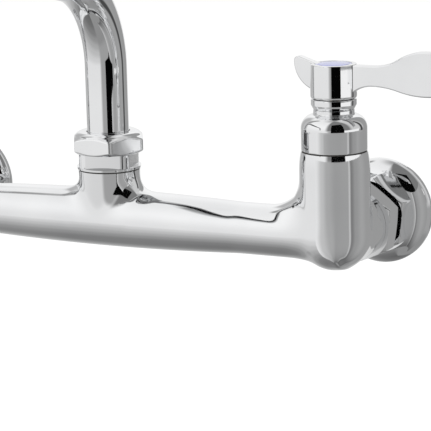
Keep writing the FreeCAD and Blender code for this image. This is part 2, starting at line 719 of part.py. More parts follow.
def make_union(name, side):
    """Coupling nut, washer, tail and flange behind one valve, along the inlet axis."""
    place = (side * HALF, BAR_Y, 0.0)
    flats_radius = UNION_FLATS / math.sqrt(3)
    nut = new_body(f"coupling_nut_{name}", *place)
    turn_profile(nut, f"nut_turn_{name}", [
        corner(UNION_BORE, NUT_FRONT), corner(flats_radius - S.nut_chamfer, NUT_FRONT),
        corner(flats_radius, NUT_FRONT + S.nut_bevel), corner(flats_radius, NUT_BACK - S.nut_bevel),
        corner(flats_radius - S.nut_chamfer, NUT_BACK), corner(TAIL_RADIUS + S.loose_gap, NUT_BACK),
        corner(TAIL_RADIUS + S.loose_gap, NUT_BACK - S.nut_lip), corner(UNION_BORE, NUT_BACK - S.nut_lip),
    ], plane="XY_Plane")
    cut_hexagon(nut, f"nut_hexagon_{name}", "XZ_Plane", UNION_FLATS, UNION_TURN,
                -NUT_FRONT, NUT_BACK - NUT_FRONT)

    ring(f"coupling_washer_{name}", place, S.inlet_way, S.union_thread - S.seat_gap,
         WASHER_START, WASHER_END, plane="XY_Plane")

    tail_end = FLANGE_FRONT + S.tail_bite
    tail = new_body(f"union_tail_{name}", *place)
    turn_profile(tail, f"tail_turn_{name}", [
        corner(S.inlet_way, TAIL_START), corner(TAIL_COLLAR, TAIL_START),
        corner(TAIL_COLLAR, TAIL_STEP), corner(TAIL_RADIUS, TAIL_STEP),
        corner(TAIL_RADIUS, tail_end), corner(S.inlet_way, tail_end),
    ], plane="XY_Plane")

    rim = WALL - S.flange_rim
    dome_foot = rim - S.flange_dome
    flange = new_body(f"inlet_flange_{name}", *place)
    turn_profile(flange, f"flange_turn_{name}", [
        corner(TAIL_RADIUS + S.thread_gap, FLANGE_FRONT),
        corner(flats_radius - S.nut_chamfer, FLANGE_FRONT),
        corner(flats_radius, FLANGE_FRONT + S.nut_bevel),
        corner(flats_radius, dome_foot),
        corner(UNION_FLATS / 2, dome_foot),
        curve(S.flange_radius, rim, S.flange_dome_bend, 1),
        corner(S.flange_radius, WALL),
        corner(S.inlet_bore, WALL), corner(S.inlet_bore, WALL - S.inlet_depth),
        corner(TAIL_RADIUS + S.thread_gap, WALL - S.inlet_depth),
    ], plane="XY_Plane")
    cut_hexagon(flange, f"flange_hexagon_{name}", "XZ_Plane", UNION_FLATS, UNION_TURN,
                -FLANGE_FRONT, dome_foot - FLANGE_FRONT)


# ------------------------------------------------------------------------ valve


def make_disc(label, place, bottom, turn):
    """A ceramic disc with two opposite sector ports."""
    body = new_body(label, *place)
    sketch = new_sketch(body, f"{label}_outline", "XY_Plane", level=bottom)
    draw_circle(sketch, S.disc_radius)
    pad_sketch(body, f"{label}_pad", sketch, S.disc_thick)
    for index in range(2):
        ports = new_sketch(body, f"{label}_port_{index + 1}", "XY_Plane", level=bottom + S.disc_thick)
        draw_outline(ports, port_corners(turn + index * FULL_TURN / 2))
        cut_sketch(body, f"{label}_cut_{index + 1}", ports, S.disc_thick)
    return body


def port_corners(turn):
    """A quarter-turn disc's port: a wedge of a ring that spans less than a quarter."""
    inner, outer = S.disc_port_inner, S.disc_port_outer
    low, high = turn - S.disc_port_angle / 2, turn + S.disc_port_angle / 2
    return [
        curve(inner * cosine(low), inner * sine(low), inner, -1),
        corner(outer * cosine(low), outer * sine(low)),
        curve(outer * cosine(high), outer * sine(high), outer, 1),
        corner(inner * cosine(high), inner * sine(high)),
    ]


def make_cartridge(name, place):
    """What stays still in the chamber: seal, sleeve and the fixed ceramic disc."""
    ring(f"seat_seal_{name}", place, S.seal_inner, SEAL_RADIUS,
         S.seat_level + S.seat_gap, SEAL_TOP - S.seat_gap)
    make_disc(f"fixed_disc_{name}", place, SEAL_TOP, 0.0)
    top = BONNET_BOTTOM - S.seat_gap
    sleeve = new_body(f"cartridge_sleeve_{name}", *place)
    turn_profile(sleeve, f"sleeve_turn_{name}", [
        corner(SEAL_RADIUS + S.seat_gap, S.seat_level + S.seat_gap),
        corner(SLEEVE_OUTER, S.seat_level + S.seat_gap), corner(SLEEVE_OUTER, top),
        corner(SLEEVE_INNER, top), corner(SLEEVE_INNER, SEAL_TOP - S.seat_gap),
        corner(SEAL_RADIUS + S.seat_gap, SEAL_TOP - S.seat_gap),
    ])
    window = new_sketch(sleeve, f"window_sketch_{name}", "XZ_Plane")
    sill = MOVING_TOP + S.window_sill
    draw_outline(window, box_corners(S.window_width / 2, sill, sill + S.window_height))
    first = cut_sketch(sleeve, f"window_{name}", window, SLEEVE_OUTER)
    repeat_round(sleeve, f"windows_{name}", first, WINDOW_COUNT)


def make_bonnet(name, place):
    """The screwed cap that closes the tower, its gasket and the gland nut on top."""
    ring(f"bonnet_gasket_{name}", place, BONNET_THREAD + S.seat_gap, TOWER_CROWN - S.gasket_inset,
         TOWER_TOP, GASKET_TOP)
    thread = BONNET_THREAD - S.thread_gap
    bonnet = new_body(f"bonnet_{name}", *place)
    turn_profile(bonnet, f"bonnet_turn_{name}", [
        corner(STEM_BORE, BONNET_BOTTOM), corner(thread, BONNET_BOTTOM), corner(thread, GASKET_TOP),
        corner(BONNET_RADIUS, GASKET_TOP), corner(BONNET_RADIUS, DOME_START),
        curve(WAIST_RADIUS + S.waist_round, DOME_TOP, S.dome_bend, 1),
        corner(WAIST_RADIUS, DOME_TOP + S.waist_round),
        corner(WAIST_RADIUS, WAIST_TOP), corner(STUB_RADIUS, WAIST_TOP),
        corner(STUB_RADIUS, STUB_TOP), corner(STEM_BORE, STUB_TOP),
    ])
    cut_hexagon(bonnet, f"bonnet_hexagon_{name}", "XY_Plane", BONNET_FLATS, BONNET_TURN,
                FLATS_TOP, FLATS_TOP - GASKET_TOP)

    bore = STUB_RADIUS + S.thread_gap
    gland = new_body(f"gland_nut_{name}", *place)
    turn_profile(gland, f"gland_turn_{name}", [
        corner(bore, WAIST_TOP + S.seat_gap), corner(WAIST_RADIUS, WAIST_TOP + S.seat_gap),
        corner(GLAND_RADIUS, WAIST_TOP + S.gland_taper),
        corner(GLAND_RADIUS, GLAND_TOP - S.edge_break),
        corner(GLAND_RADIUS - S.edge_break, GLAND_TOP),
        corner(S.stem_radius + S.loose_gap, GLAND_TOP),
        corner(S.stem_radius + S.loose_gap, STUB_TOP + S.seat_gap), corner(bore, STUB_TOP + S.seat_gap),
    ])


def make_moving_disc(name, place):
    """The ceramic disc that turns, with a slot across its top for the stem's tongue."""
    disc = make_disc(f"moving_disc_{name}", place, MOVING_BOTTOM, MOVING_TURN)
    slot = new_sketch(disc, f"slot_sketch_{name}", "XY_Plane", level=MOVING_TOP)
    half = S.tongue_thick / 2 + S.seat_gap
    draw_outline(slot, box_corners(S.disc_radius * OVERSIZE, -half, half))
    cut_sketch(disc, f"slot_{name}", slot, S.tongue_depth)


def groove_corners(radius, floor, level):
    """A square o-ring groove round a shaft."""
    half = S.oring_radius + S.oring_side
    return [
        corner(radius, level - half), corner(floor, level - half),
        corner(floor, level + half), corner(radius, level + half),
    ]


def make_stem(name, place):
    """What turns in the bonnet: spindle with tongue and square, thrust washer and o-rings."""
    floor = STEM_BORE - 2 * S.oring_radius - S.running_gap
    low, high = ORING_LEVEL, ORING_LEVEL + S.oring_pitch
    stem = new_body(f"stem_{name}", *place)
    turn_profile(stem, f"stem_turn_{name}", [
        corner(0, CARRIER_BOTTOM), corner(CARRIER_RADIUS, CARRIER_BOTTOM),
        corner(CARRIER_RADIUS, CARRIER_TOP), corner(S.stem_radius, CARRIER_TOP),
        *groove_corners(S.stem_radius, floor, low), *groove_corners(S.stem_radius, floor, high),
        corner(S.stem_radius, SHOULDER), corner(0, SHOULDER),
    ])
    tongue_bottom = MOVING_TOP - S.tongue_depth + S.seat_gap
    tongue = new_sketch(stem, f"tongue_sketch_{name}", "XY_Plane", level=tongue_bottom)
    draw_outline(tongue, box_corners(S.tongue_width / 2, -S.tongue_thick / 2, S.tongue_thick / 2))
    pad_sketch(stem, f"tongue_{name}", tongue, CARRIER_BOTTOM + S.carrier_thick / 2 - tongue_bottom)
    drive = new_sketch(stem, f"drive_sketch_{name}", "XY_Plane", level=SHOULDER)
    draw_outline(drive, box_corners(S.drive_square / 2, -S.drive_square / 2, S.drive_square / 2))
    pad_sketch(stem, f"drive_{name}", drive, DRIVE_TOP - SHOULDER)
    tap_bottom = WEB_TOP - S.screw_length - S.tap_extra
    drill(stem, f"tap_{name}", "XY_Plane", S.screw_radius + S.thread_gap,
          DRIVE_TOP - tap_bottom, level=DRIVE_TOP)

    ring(f"thrust_washer_{name}", place, S.stem_radius + S.seat_gap, CARRIER_RADIUS,
         CARRIER_TOP + S.seat_gap, CARRIER_TOP + S.seat_gap + S.thrust_thick)
    seal_ring(f"stem_orings_{name}", place, floor + S.oring_radius, S.oring_radius, (low, high))


# ------------------------------------------------------------------------ lever

def tangent_bend(run, step):
    """The radius of an arc that starts level and covers run sideways and step in height."""
    return (run * run + step * step) / (2 * step)


def blade_corners():
    """The lever's side view: tail fin, root, drawn-in neck, paddle and round tip."""
    root = S.hub_radius - S.hub_round
    middle = HUB_BOTTOM + S.blade_middle
    top, bottom = middle + S.blade_wide / 2, middle - S.blade_wide / 2
    neck_top, neck_bottom = HUB_BOTTOM + S.blade_neck_top, HUB_BOTTOM + S.blade_neck_bottom
    tail_tip = HUB_BOTTOM + S.tail_tip
    half_run = (S.blade_wide_at - S.blade_neck_at) / 2
    half_at = S.blade_neck_at + half_run
    top_step = (top - neck_top) / 2
    low_step = (neck_bottom - bottom) / 2
    root_run = S.blade_neck_at - root
    root_step = S.blade_neck_bottom - S.blade_root_bottom
    taper_run = S.blade_tip_at - S.blade_wide_at
    taper_depth = square_root(S.blade_tip_bend * S.blade_tip_bend - taper_run * taper_run)
    tip_half = S.blade_wide / 2 - S.blade_tip_bend + taper_depth
    tip_bend = tip_half * S.blade_tip_bend / taper_depth
    tail_out = S.tail_end - S.tail_tip_bend + S.tail_tip_bend * -sine(S.tail_slope)
    tail_top = tail_tip + S.tail_tip_bend * cosine(S.tail_slope)
    tail_run = S.tail_bend - S.tail_end + root
    tail_root = tail_tip - square_root(S.tail_bend * S.tail_bend - tail_run * tail_run)
    fin_foot = tail_out - (tail_top - neck_top) * cosine(S.tail_slope) / sine(S.tail_slope)
    return [
        curve(-root, tail_root, S.tail_bend, 1),
        corner(root, HUB_BOTTOM + S.blade_root_bottom),
        curve(S.blade_neck_at, neck_bottom, tangent_bend(root_run, root_step), -1),
        curve(half_at, neck_bottom - low_step, tangent_bend(half_run, low_step), -1),
        curve(S.blade_wide_at, bottom, tangent_bend(half_run, low_step), 1),
        curve(S.blade_tip_at, middle - tip_half, S.blade_tip_bend, 1),
        curve(S.blade_tip_at, middle + tip_half, tip_bend, 1),
        curve(S.blade_wide_at, top, S.blade_tip_bend, 1),
        curve(half_at, top - top_step, tangent_bend(half_run, top_step), 1),
        curve(S.blade_neck_at, neck_top, tangent_bend(half_run, top_step), -1),
        corner(-fin_foot, neck_top),
        corner(-tail_out, tail_top),
        curve(-S.tail_end, tail_tip, S.tail_tip_bend, 1),
    ]


def is_blade_edge(edge):
    """The long edges round the blade's two flat sides, clear of the hub."""
    box = edge.BoundBox
    half = plain(S.blade_thick) / 2
    flat = box.YLength < SMALL and abs(abs(box.Center.y) - half) < SMALL
    return flat and max(abs(box.XMin), abs(box.XMax)) > plain(S.hub_radius) + EDGE_MARGIN


def make_lever(name, place, side):
    lever = new_body(f"lever_handle_{name}", *place)
    outline = [(side * c[0], c[1], c[2], side * c[3]) for c in blade_corners()]
    sketch = new_sketch(lever, f"blade_sketch_{name}", "XZ_Plane")
    draw_outline(sketch, outline)
    pad_sketch(lever, f"blade_{name}", sketch, S.blade_thick, midplane=True)
    add_fillet(lever, f"blade_round_{name}", S.blade_round, is_blade_edge)
    turn_profile(lever, f"hub_{name}", [
        corner(0, HUB_BOTTOM), corner(S.hub_radius - S.hub_round, HUB_BOTTOM),
        curve(S.hub_radius, HUB_BOTTOM + S.hub_round, S.hub_round, 1),
        corner(S.hub_radius, HUB_TOP - S.hub_edge), corner(S.hub_radius - S.hub_edge, HUB_TOP),
        corner(0, HUB_TOP),
    ])
    recess = BUTTON_RADIUS + S.seat_gap
    screw_way = S.screw_radius + S.thread_gap
    turn_profile(lever, f"hub_hollow_{name}", [
        corner(0, HUB_BOTTOM - CUT_PAST), corner(screw_way, HUB_BOTTOM - CUT_PAST),
        corner(screw_way, WEB_TOP), corner(recess, WEB_TOP),
        corner(recess, HUB_TOP + CUT_PAST), corner(0, HUB_TOP + CUT_PAST),
    ], cut=True)
    socket = new_sketch(lever, f"socket_sketch_{name}", "XY_Plane", level=HUB_BOTTOM)
    half = S.drive_square / 2 + S.seat_gap
    draw_outline(socket, box_corners(half, -half, half))
    cut_sketch(lever, f"socket_{name}", socket, WEB_BOTTOM - HUB_BOTTOM, reverse=True)
    make_handle_trim(name, place)


def make_handle_trim(name, place):
    """The screw that holds the lever down and the index button over it."""
    head_bottom = WEB_TOP + S.seat_gap
    screw = new_body(f"handle_screw_{name}", *place)
    turn_profile(screw, f"screw_turn_{name}", [
        corner(0, WEB_TOP - S.screw_length), corner(S.screw_radius, WEB_TOP - S.screw_length),
        corner(S.screw_radius, head_bottom), corner(S.screw_head, head_bottom),
        corner(S.screw_head, head_bottom + S.screw_head_thick), corner(0, head_bottom + S.screw_head_thick),
    ])
    rim = HUB_TOP - 2 * S.seat_gap
    bend = tangent_bend(BUTTON_RADIUS - S.button_spot, S.button_crown)
    button = new_body(f"index_button_{name}", *place)
    turn_profile(button, f"button_turn_{name}", [
        corner(0, rim - S.button_thick), corner(BUTTON_RADIUS, rim - S.button_thick),
        corner(BUTTON_RADIUS, rim),
        curve(S.button_spot, rim + S.button_crown, bend, 1), corner(0, rim + S.button_crown),
    ])


# ------------------------------------------------------------------------ spout


def make_spout_base():
    """Adapter screwed in the neck, with the seals and the nut that hold the spout."""
    place = (0.0, BAR_Y, 0.0)
    ring("adapter_gasket", place, ADAPTER_THREAD + S.seat_gap, NECK_RADIUS - S.gasket_inset,
         S.neck_top, FACE_BOTTOM)
    groove = 2 * (S.tube_seal_radius + S.oring_side)
    groove_floor = TUBE_BORE + 2 * S.tube_seal_radius + S.running_gap
    collar_bore = COLLAR_RADIUS + S.running_gap
    low, high = TUBE_SEAL_LEVEL, TUBE_SEAL_LEVEL + S.tube_seal_pitch
    adapter = new_body("spout_adapter", *place)
    flats_radius = ADAPTER_FLATS / math.sqrt(3)
    turn_profile(adapter, "adapter_turn", [
        corner(ADAPTER_WAY, S.neck_top - S.adapter_tail),
        corner(ADAPTER_THREAD, S.neck_top - S.adapter_tail),
        corner(ADAPTER_THREAD, FACE_BOTTOM), corner(ADAPTER_FACE, FACE_BOTTOM),
        corner(ADAPTER_FACE, HEX_BOTTOM), corner(flats_radius, HEX_BOTTOM),
        corner(flats_radius, ADAPTER_HEX_TOP), corner(ADAPTER_STUB, ADAPTER_HEX_TOP),
        corner(ADAPTER_STUB, ADAPTER_STUB_TOP), corner(collar_bore, ADAPTER_STUB_TOP),
        corner(collar_bore, COLLAR_BOTTOM - S.seat_gap), corner(TUBE_BORE, COLLAR_BOTTOM - S.seat_gap),
        corner(TUBE_BORE, high + groove / 2), corner(groove_floor, high + groove / 2),
        corner(groove_floor, high - groove / 2), corner(TUBE_BORE, high - groove / 2),
        corner(TUBE_BORE, low + groove / 2), corner(groove_floor, low + groove / 2),
        corner(groove_floor, low - groove / 2), corner(TUBE_BORE, low - groove / 2),
        corner(TUBE_BORE, HEX_BOTTOM), corner(ADAPTER_WAY, HEX_BOTTOM),
    ])
    cut_hexagon(adapter, "adapter_hexagon", "XY_Plane", ADAPTER_FLATS, ADAPTER_TURN,
                ADAPTER_HEX_TOP, ADAPTER_HEX_TOP - HEX_BOTTOM)
    seal_ring("spout_orings", place, TUBE_BORE + S.tube_seal_radius + S.running_gap / 2,
              S.tube_seal_radius, (low, high))

    slip_bottom = COLLAR_TOP + S.seat_gap
    ring("spout_slip_ring", place, TUBE_HOLE, COLLAR_RADIUS,
         slip_bottom, ADAPTER_STUB_TOP - S.seat_gap)

    nut_radius = SPOUT_NUT_FLATS / math.sqrt(3)
    nut_bottom = ADAPTER_HEX_TOP + 2 * S.seat_gap
    bore = ADAPTER_STUB + S.thread_gap
    face = nut_radius - S.spout_nut_chamfer
    nut = new_body("spout_nut", *place)
    turn_profile(nut, "spout_nut_turn", [
        corner(bore, nut_bottom), corner(face, nut_bottom),
        corner(nut_radius, nut_bottom + S.spout_nut_bevel),
        corner(nut_radius, SPOUT_NUT_HEX_TOP - S.spout_nut_bevel), corner(face, SPOUT_NUT_HEX_TOP),
        curve(nut_radius - S.spout_nut_dome, SPOUT_NUT_TOP, S.spout_nut_dome, 1),
        corner(TUBE_HOLE, SPOUT_NUT_TOP), corner(TUBE_HOLE, ADAPTER_STUB_TOP + S.seat_gap),
        corner(bore, ADAPTER_STUB_TOP + S.seat_gap),
    ])
    cut_hexagon(nut, "spout_nut_hexagon", "XY_Plane", SPOUT_NUT_FLATS, SPOUT_NUT_TURN,
                SPOUT_NUT_HEX_TOP, SPOUT_NUT_HEX_TOP - nut_bottom)


def make_spout_tube():
    """The bent tube: riser, first bend, sloping run, end bend and short drop."""
    tube = new_body("spout_tube", 0.0, BAR_Y, 0.0)
    path = new_sketch(tube, "spout_path", "YZ_Plane")
    draw_outline(path, [
        corner(0, TUBE_BOTTOM), corner(0, S.bend_start),
        curve(-FIRST_BEND_OUT, FIRST_BEND_UP, S.bend_radius, 1),
        corner(-(FIRST_BEND_OUT + RUN_OUT), FIRST_BEND_UP + RUN_UP),
        curve(-S.spout_reach, OUTLET_LEVEL + S.outlet_drop, S.end_bend_radius, 1),
        corner(-S.spout_reach, OUTLET_LEVEL),
    ], closed=False)
    section = new_sketch(tube, "spout_section", "XY_Plane", level=TUBE_BOTTOM)
    draw_circle(section, S.tube_radius)
    draw_circle(section, S.tube_radius - S.tube_wall)
    doc.recompute()
    pipe = tube.newObject("PartDesign::AdditivePipe", "spout_sweep")
    pipe.Profile = section
    pipe.Spine = path

    ring("spout_collar", (0.0, BAR_Y, 0.0), TUBE_SLEEVE, COLLAR_RADIUS,
         COLLAR_BOTTOM, COLLAR_TOP)


def make_outlet():
    """Brazed end fitting with the aerator's housing, washer, screen and insert."""
    place = (0.0, BAR_Y - S.spout_reach, OUTLET_LEVEL)
    slim = FITTING_RADIUS - S.fitting_bevel
    fitting = new_body("outlet_fitting", *place)
    turn_profile(fitting, "fitting_turn", [
        corner(TUBE_SLEEVE, 0), corner(FITTING_RADIUS, 0),
        corner(FITTING_RADIUS, S.fitting_length - S.fitting_bevel),
        corner(slim, S.fitting_length), corner(TUBE_SLEEVE, S.fitting_length),
    ])
    lip_top = HOUSING_BOTTOM + S.housing_lip
    housing = new_body("aerator_housing", *place)
    turn_profile(housing, "housing_turn", [
        corner(HOUSING_MOUTH, HOUSING_BOTTOM), corner(HOUSING_RADIUS - S.housing_bevel, HOUSING_BOTTOM),
        corner(HOUSING_RADIUS, HOUSING_BOTTOM + S.housing_bevel),
        corner(HOUSING_RADIUS, S.housing_above - S.edge_break),
        corner(HOUSING_RADIUS - S.edge_break, S.housing_above), corner(HOUSING_BORE, S.housing_above),
        corner(HOUSING_BORE, lip_top), corner(HOUSING_MOUTH, lip_top),
    ])
    flats = new_sketch(housing, "housing_flats_sketch", "XY_Plane",
                       level=HOUSING_BOTTOM + S.housing_flats_height)
    draw_circle(flats, 2 * HOUSING_RADIUS)
    draw_outline(flats, box_corners(HOUSING_RADIUS * OVERSIZE, -HOUSING_FLATS / 2, HOUSING_FLATS / 2))
    cut_sketch(housing, "housing_flats", flats, S.housing_flats_height)
    make_aerator(place, FITTING_RADIUS - S.seat_gap)


def make_aerator(place, insert_radius):
    """The perforated insert, the screen on it and the washer that seals them."""
    hollow = HOUSING_MOUTH - S.insert_rim
    insert = new_body("aerator_insert", *place)
    turn_profile(insert, "insert_turn", [
        corner(0, INSERT_TOP - S.insert_web), corner(hollow, INSERT_TOP - S.insert_web),
        corner(hollow, INSERT_BOTTOM), corner(insert_radius, INSERT_BOTTOM),
        corner(insert_radius, INSERT_TOP), corner(0, INSERT_TOP),
    ])
    pierce(insert, "insert", INSERT_TOP, S.insert_web)
    screen = new_body("aerator_screen", *place)
    turn_profile(screen, "screen_turn", [
        corner(0, INSERT_TOP + S.seat_gap), corner(insert_radius, INSERT_TOP + S.seat_gap),
        corner(insert_radius, SCREEN_TOP), corner(0, SCREEN_TOP),
    ])
    pierce(screen, "screen", SCREEN_TOP, S.screen_thick)
    ring("aerator_washer", place, S.tube_radius - S.tube_wall, insert_radius,
         SCREEN_TOP + S.seat_gap, -S.seat_gap)


def pierce(body, name, level, depth):
    """A ring of small holes through a thin disc."""
    sketch = new_sketch(body, f"{name}_hole_sketch", "XY_Plane", level=level)
    draw_circle(sketch, S.screen_hole, HOUSING_MOUTH / 2, 0.0)
    first = cut_sketch(body, f"{name}_hole", sketch, depth)
    repeat_round(body, f"{name}_holes", first, SCREEN_HOLES)


# --------------------------------------------------------------- build and write

def make_all():
    make_faucet_body()
    for name, side in SIDES:
        place = (side * HALF, BAR_Y, 0.0)
        make_union(name, side)
        make_cartridge(name, place)
        make_bonnet(name, place)
        make_moving_disc(name, place)
        make_stem(name, place)
        make_lever(name, place, side)
    make_spout_base()
    make_spout_tube()
    make_outlet()


def check_document():
    """Stop on any failed object and on any part without a sound shape."""
    for item in doc.Objects:
        if "Invalid" in item.State or "Error" in item.State:
            raise RuntimeError(f"{item.Label} failed: {item.State}")
    for part in PARTS:
        if part.Shape.isNull() or not part.Shape.isValid():
            raise RuntimeError(f"{part.Label} has no valid shape")


def write_parts():
    os.makedirs("parts", exist_ok=True)
    for part in PARTS:
        part.Shape.exportStep(os.path.join("parts", f"{part.Label}.step"))
        print(f"{part.Label}: {len(part.Shape.Solids)} solid(s), {part.Shape.Volume:.1f} mm3")


make_all()
doc.recompute()
check_document()
write_parts()
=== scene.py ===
import json
import math
from collections import namedtuple

import bmesh
import bpy
import numpy as np
from mathutils import Matrix, Vector


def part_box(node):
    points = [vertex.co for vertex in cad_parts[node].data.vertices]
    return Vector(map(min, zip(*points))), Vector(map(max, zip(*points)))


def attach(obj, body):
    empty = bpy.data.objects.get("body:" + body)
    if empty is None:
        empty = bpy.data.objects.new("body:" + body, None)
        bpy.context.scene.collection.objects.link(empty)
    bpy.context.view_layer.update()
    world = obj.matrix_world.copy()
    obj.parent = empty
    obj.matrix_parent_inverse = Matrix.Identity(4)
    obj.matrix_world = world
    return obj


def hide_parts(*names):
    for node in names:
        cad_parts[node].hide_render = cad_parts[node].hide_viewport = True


# Looks of a commercial wall faucet. The frame is the part's own: metres, the origin on
# the wall between the two inlets, +X right, -Y towards the user, +Z up. Sizes below are
# written in millimetres and turned to metres where a mesh is made.

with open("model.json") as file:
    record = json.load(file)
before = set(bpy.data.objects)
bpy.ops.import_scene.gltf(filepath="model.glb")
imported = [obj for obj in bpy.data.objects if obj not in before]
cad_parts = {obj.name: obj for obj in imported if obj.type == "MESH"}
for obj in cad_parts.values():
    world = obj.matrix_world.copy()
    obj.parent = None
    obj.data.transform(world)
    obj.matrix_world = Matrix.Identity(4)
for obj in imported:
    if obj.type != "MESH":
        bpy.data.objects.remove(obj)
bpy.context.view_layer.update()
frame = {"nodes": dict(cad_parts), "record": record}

MM = 0.001
SIDES = {"left": -1, "right": 1}
HANDLE_BODY = {"left": "hot_handle", "right": "cold_handle"}
INDEX_LOOK = {"left": "hot_index", "right": "cold_index"}


# ------------------------------------------------------------ places from the frame

def reach(node):
    """Lowest and highest corner of a node, in millimetres."""
    low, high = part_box(node)
    return low / MM, high / MM


def middle(node):
    """The middle of a node's box, in millimetres."""
    low, high = reach(node)
    return (low + high) / 2


VALVE = middle("gland_nut_right").x         # valve axis from the middle plane
BAR_Y = middle("spout_nut").y               # the bar's axis in front of the wall
OUTLET_Y = middle("aerator_housing").y
OUTLET_Z = reach("outlet_fitting")[0].z


# ------------------------------------------------------------------- mesh making

TURN_STEPS = 240
ROUND_STEPS = 5
ARC_STEPS = 16
FINE_STEP = 0.7         # longest straight step along an outline
SHARP = math.radians(50)
LEAST_COSINE = 0.2      # keeps the distance to a wrench flat finite near its ends

# Wrench flats: how many, the size across them, the azimuth of the first corner in
# degrees, the levels they lie between, and how softly they run into the round.
Flats = namedtuple("Flats", "count across turn low high edge", defaults=[0.5])


def smooth_shaded(mesh):
    """Shade a mesh smooth, apart from its real corners."""
    mesh.shade_smooth()
    mesh.set_sharp_from_angle(angle=SHARP)


def new_object(name, data):
    """Put a mesh, a camera or a lamp into the scene."""
    obj = bpy.data.objects.new(name, data)
    bpy.context.scene.collection.objects.link(obj)
    return obj


def make_object(name, points, faces):
    """A smooth-shaded mesh object from points in millimetres."""
    mesh = bpy.data.meshes.new(name)
    mesh.from_pydata([tuple(p) for p in np.asarray(points) * MM], [], faces)
    mesh.update()
    smooth_shaded(mesh)
    return new_object(name, mesh)


def arc_radius(run, rise):
    """Radius of an arc that starts level and rises by a given step over a given run."""
    return (run * run + rise * rise) / (2 * rise)


def arc(start, end, bend, side, steps=ARC_STEPS):
    """Points of the arc of a given radius from start to end, bulging left (1) or right (-1)."""
    start, end = np.array(start, float), np.array(end, float)
    chord = end - start
    length = np.linalg.norm(chord)
    across = np.array([-chord[1], chord[0]]) / length
    centre = (start + end) / 2 - across * side * math.sqrt(max(bend ** 2 - length ** 2 / 4, 0))
    first, last = start - centre, end - centre
    turn = math.atan2(first[0] * last[1] - first[1] * last[0], first @ last)
    out = []
    for t in np.linspace(0, 1, steps):
        c, s = math.cos(turn * t), math.sin(turn * t)
        out.append(tuple(centre + (first[0] * c - first[1] * s, first[0] * s + first[1] * c)))
    return out


def rounded(corners):
    """A closed outline through (across, along, bend) corners, each rounded by its bend."""
    points = [np.array(corner[:2], float) for corner in corners]
    out = []
    for index, point in enumerate(points):
        bend = corners[index][2] if len(corners[index]) > 2 else 0
        if bend == 0:
            out.append(point)
            continue
        before, after = points[index - 1] - point, points[(index + 1) % len(points)] - point
        first, last = np.linalg.norm(before), np.linalg.norm(after)
        before, after = before / first, after / last
        half = math.acos(np.clip(before @ after, -1, 1)) / 2
        cut = min(bend / math.tan(half), first / 2, last / 2)
        for t in np.linspace(0, 1, ROUND_STEPS):
            out.append(point + before * cut * (1 - t) ** 2 + after * cut * t ** 2)
    return out


def divided(points):
    """The same closed outline with no step longer than the fine step."""
    out = []
    for index, point in enumerate(points):
        ahead = points[(index + 1) % len(points)]
        parts = max(1, math.ceil(np.linalg.norm(ahead - point) / FINE_STEP))
        for part in range(parts):
            out.append(point + (ahead - point) * part / parts)
    return out


def soft_smaller(a, b, width):
    """The smaller of two numbers, with the corner between them rounded off."""
    overlap = np.maximum(width - np.abs(a - b), 0) / width
    return np.minimum(a, b) - overlap * overlap * width / 4


def ring_quads(rings, steps):
    """Faces that join each ring of points to the next, and the last ring to the first."""
    faces = []
    for ring in range(rings):
        here, after = ring * steps, (ring + 1) % rings * steps
        for step in range(steps):
            ahead = (step + 1) % steps
            faces.append([here + step, here + ahead, after + ahead, after + step])
    return faces


def cut_flats(wide, along, angle, flats):
    """Bring the radii of a turned form in to its wrench flats."""
    side = 2 * math.pi / flats.count
    offset = (angle - math.radians(flats.turn)) % side - side / 2
    limit = flats.across / 2 / np.maximum(np.cos(offset), LEAST_COSINE)
    milled = (along >= flats.low) & (along <= flats.high)
    wide[milled] = soft_smaller(wide[milled], limit[None, :], flats.edge)


def turned(name, corners, place, axis="Z", flats=None):
    """A lathe piece from its closed outline, about an upright (Z) or a level (Y) axis."""
    outline = np.array(divided(rounded(corners)))
    radius, along = outline[:, 0], outline[:, 1]
    angle = np.linspace(0, 2 * math.pi, TURN_STEPS, endpoint=False)
    wide = np.repeat(radius[:, None], TURN_STEPS, axis=1)
    if flats:
        angle = angle + math.radians(flats.turn)
        cut_flats(wide, along, angle, flats)
    sideways, outwards = wide * np.cos(angle), wide * np.sin(angle)
    lengthways = np.repeat(along[:, None], TURN_STEPS, axis=1)
    faces = ring_quads(len(outline), TURN_STEPS)
    if axis == "Z":
        grid = (sideways, outwards, lengthways)
    else:
        grid = (sideways, lengthways, outwards)
        faces = [quad[::-1] for quad in faces]
    points = np.stack(grid, axis=-1).reshape(-1, 3) + np.array(place, float)
    return make_object(name, points, faces)


# --------------------------------------------------------------------- the casting

BAR_RADIUS = 10.65
BAR_SWELL = 1.5         # how much thicker the bar is in the middle
SWELL_HALF = 60.0
NECK_ROOT = 11.6
NECK_RADIUS = 13.0
NECK_TOP = 20.7
NECK_BLEND = 7.5
TOWER_RADIUS = 14.2
TOWER_CROWN = 13.4
TOWER_SHOULDER = 27.0
TOWER_TOP = 34.2
TOWER_BLEND = 14.0
CROWN_LIMIT = 1.4       # how far the crown's curve runs, in shares of its height
ARM_RADIUS = 13.8
ARM_END = 20.0
ARM_SOFT = 1.2

BLOCK_BAR = 11.0        # half width of the bar's raw block, and of the others
BLOCK_POST = 12.0
CUT_PAST = 3.0          # raw length beyond each square cut
CAST_VOXEL = 1.0
DRAW_ROUNDS = 12
RUB_ROUNDS = 10
RUB_SHARE = 0.5
PROBE = 0.05            # step over which a form's slope is measured
TINY = 1e-9
PARALLEL = 0.02         # squared sine below which two surfaces count as parallel


def bar_distance(p):
    """A round bar, barrelled in the middle."""
    swell_bend = arc_radius(SWELL_HALF, BAR_SWELL)
    run = np.minimum(np.abs(p[:, 0]), SWELL_HALF)
    radius = BAR_RADIUS + BAR_SWELL - (swell_bend - np.sqrt(swell_bend ** 2 - run ** 2))
    round_part = np.hypot(p[:, 1], p[:, 2]) - radius
    return np.maximum(round_part, np.abs(p[:, 0]) - VALVE)


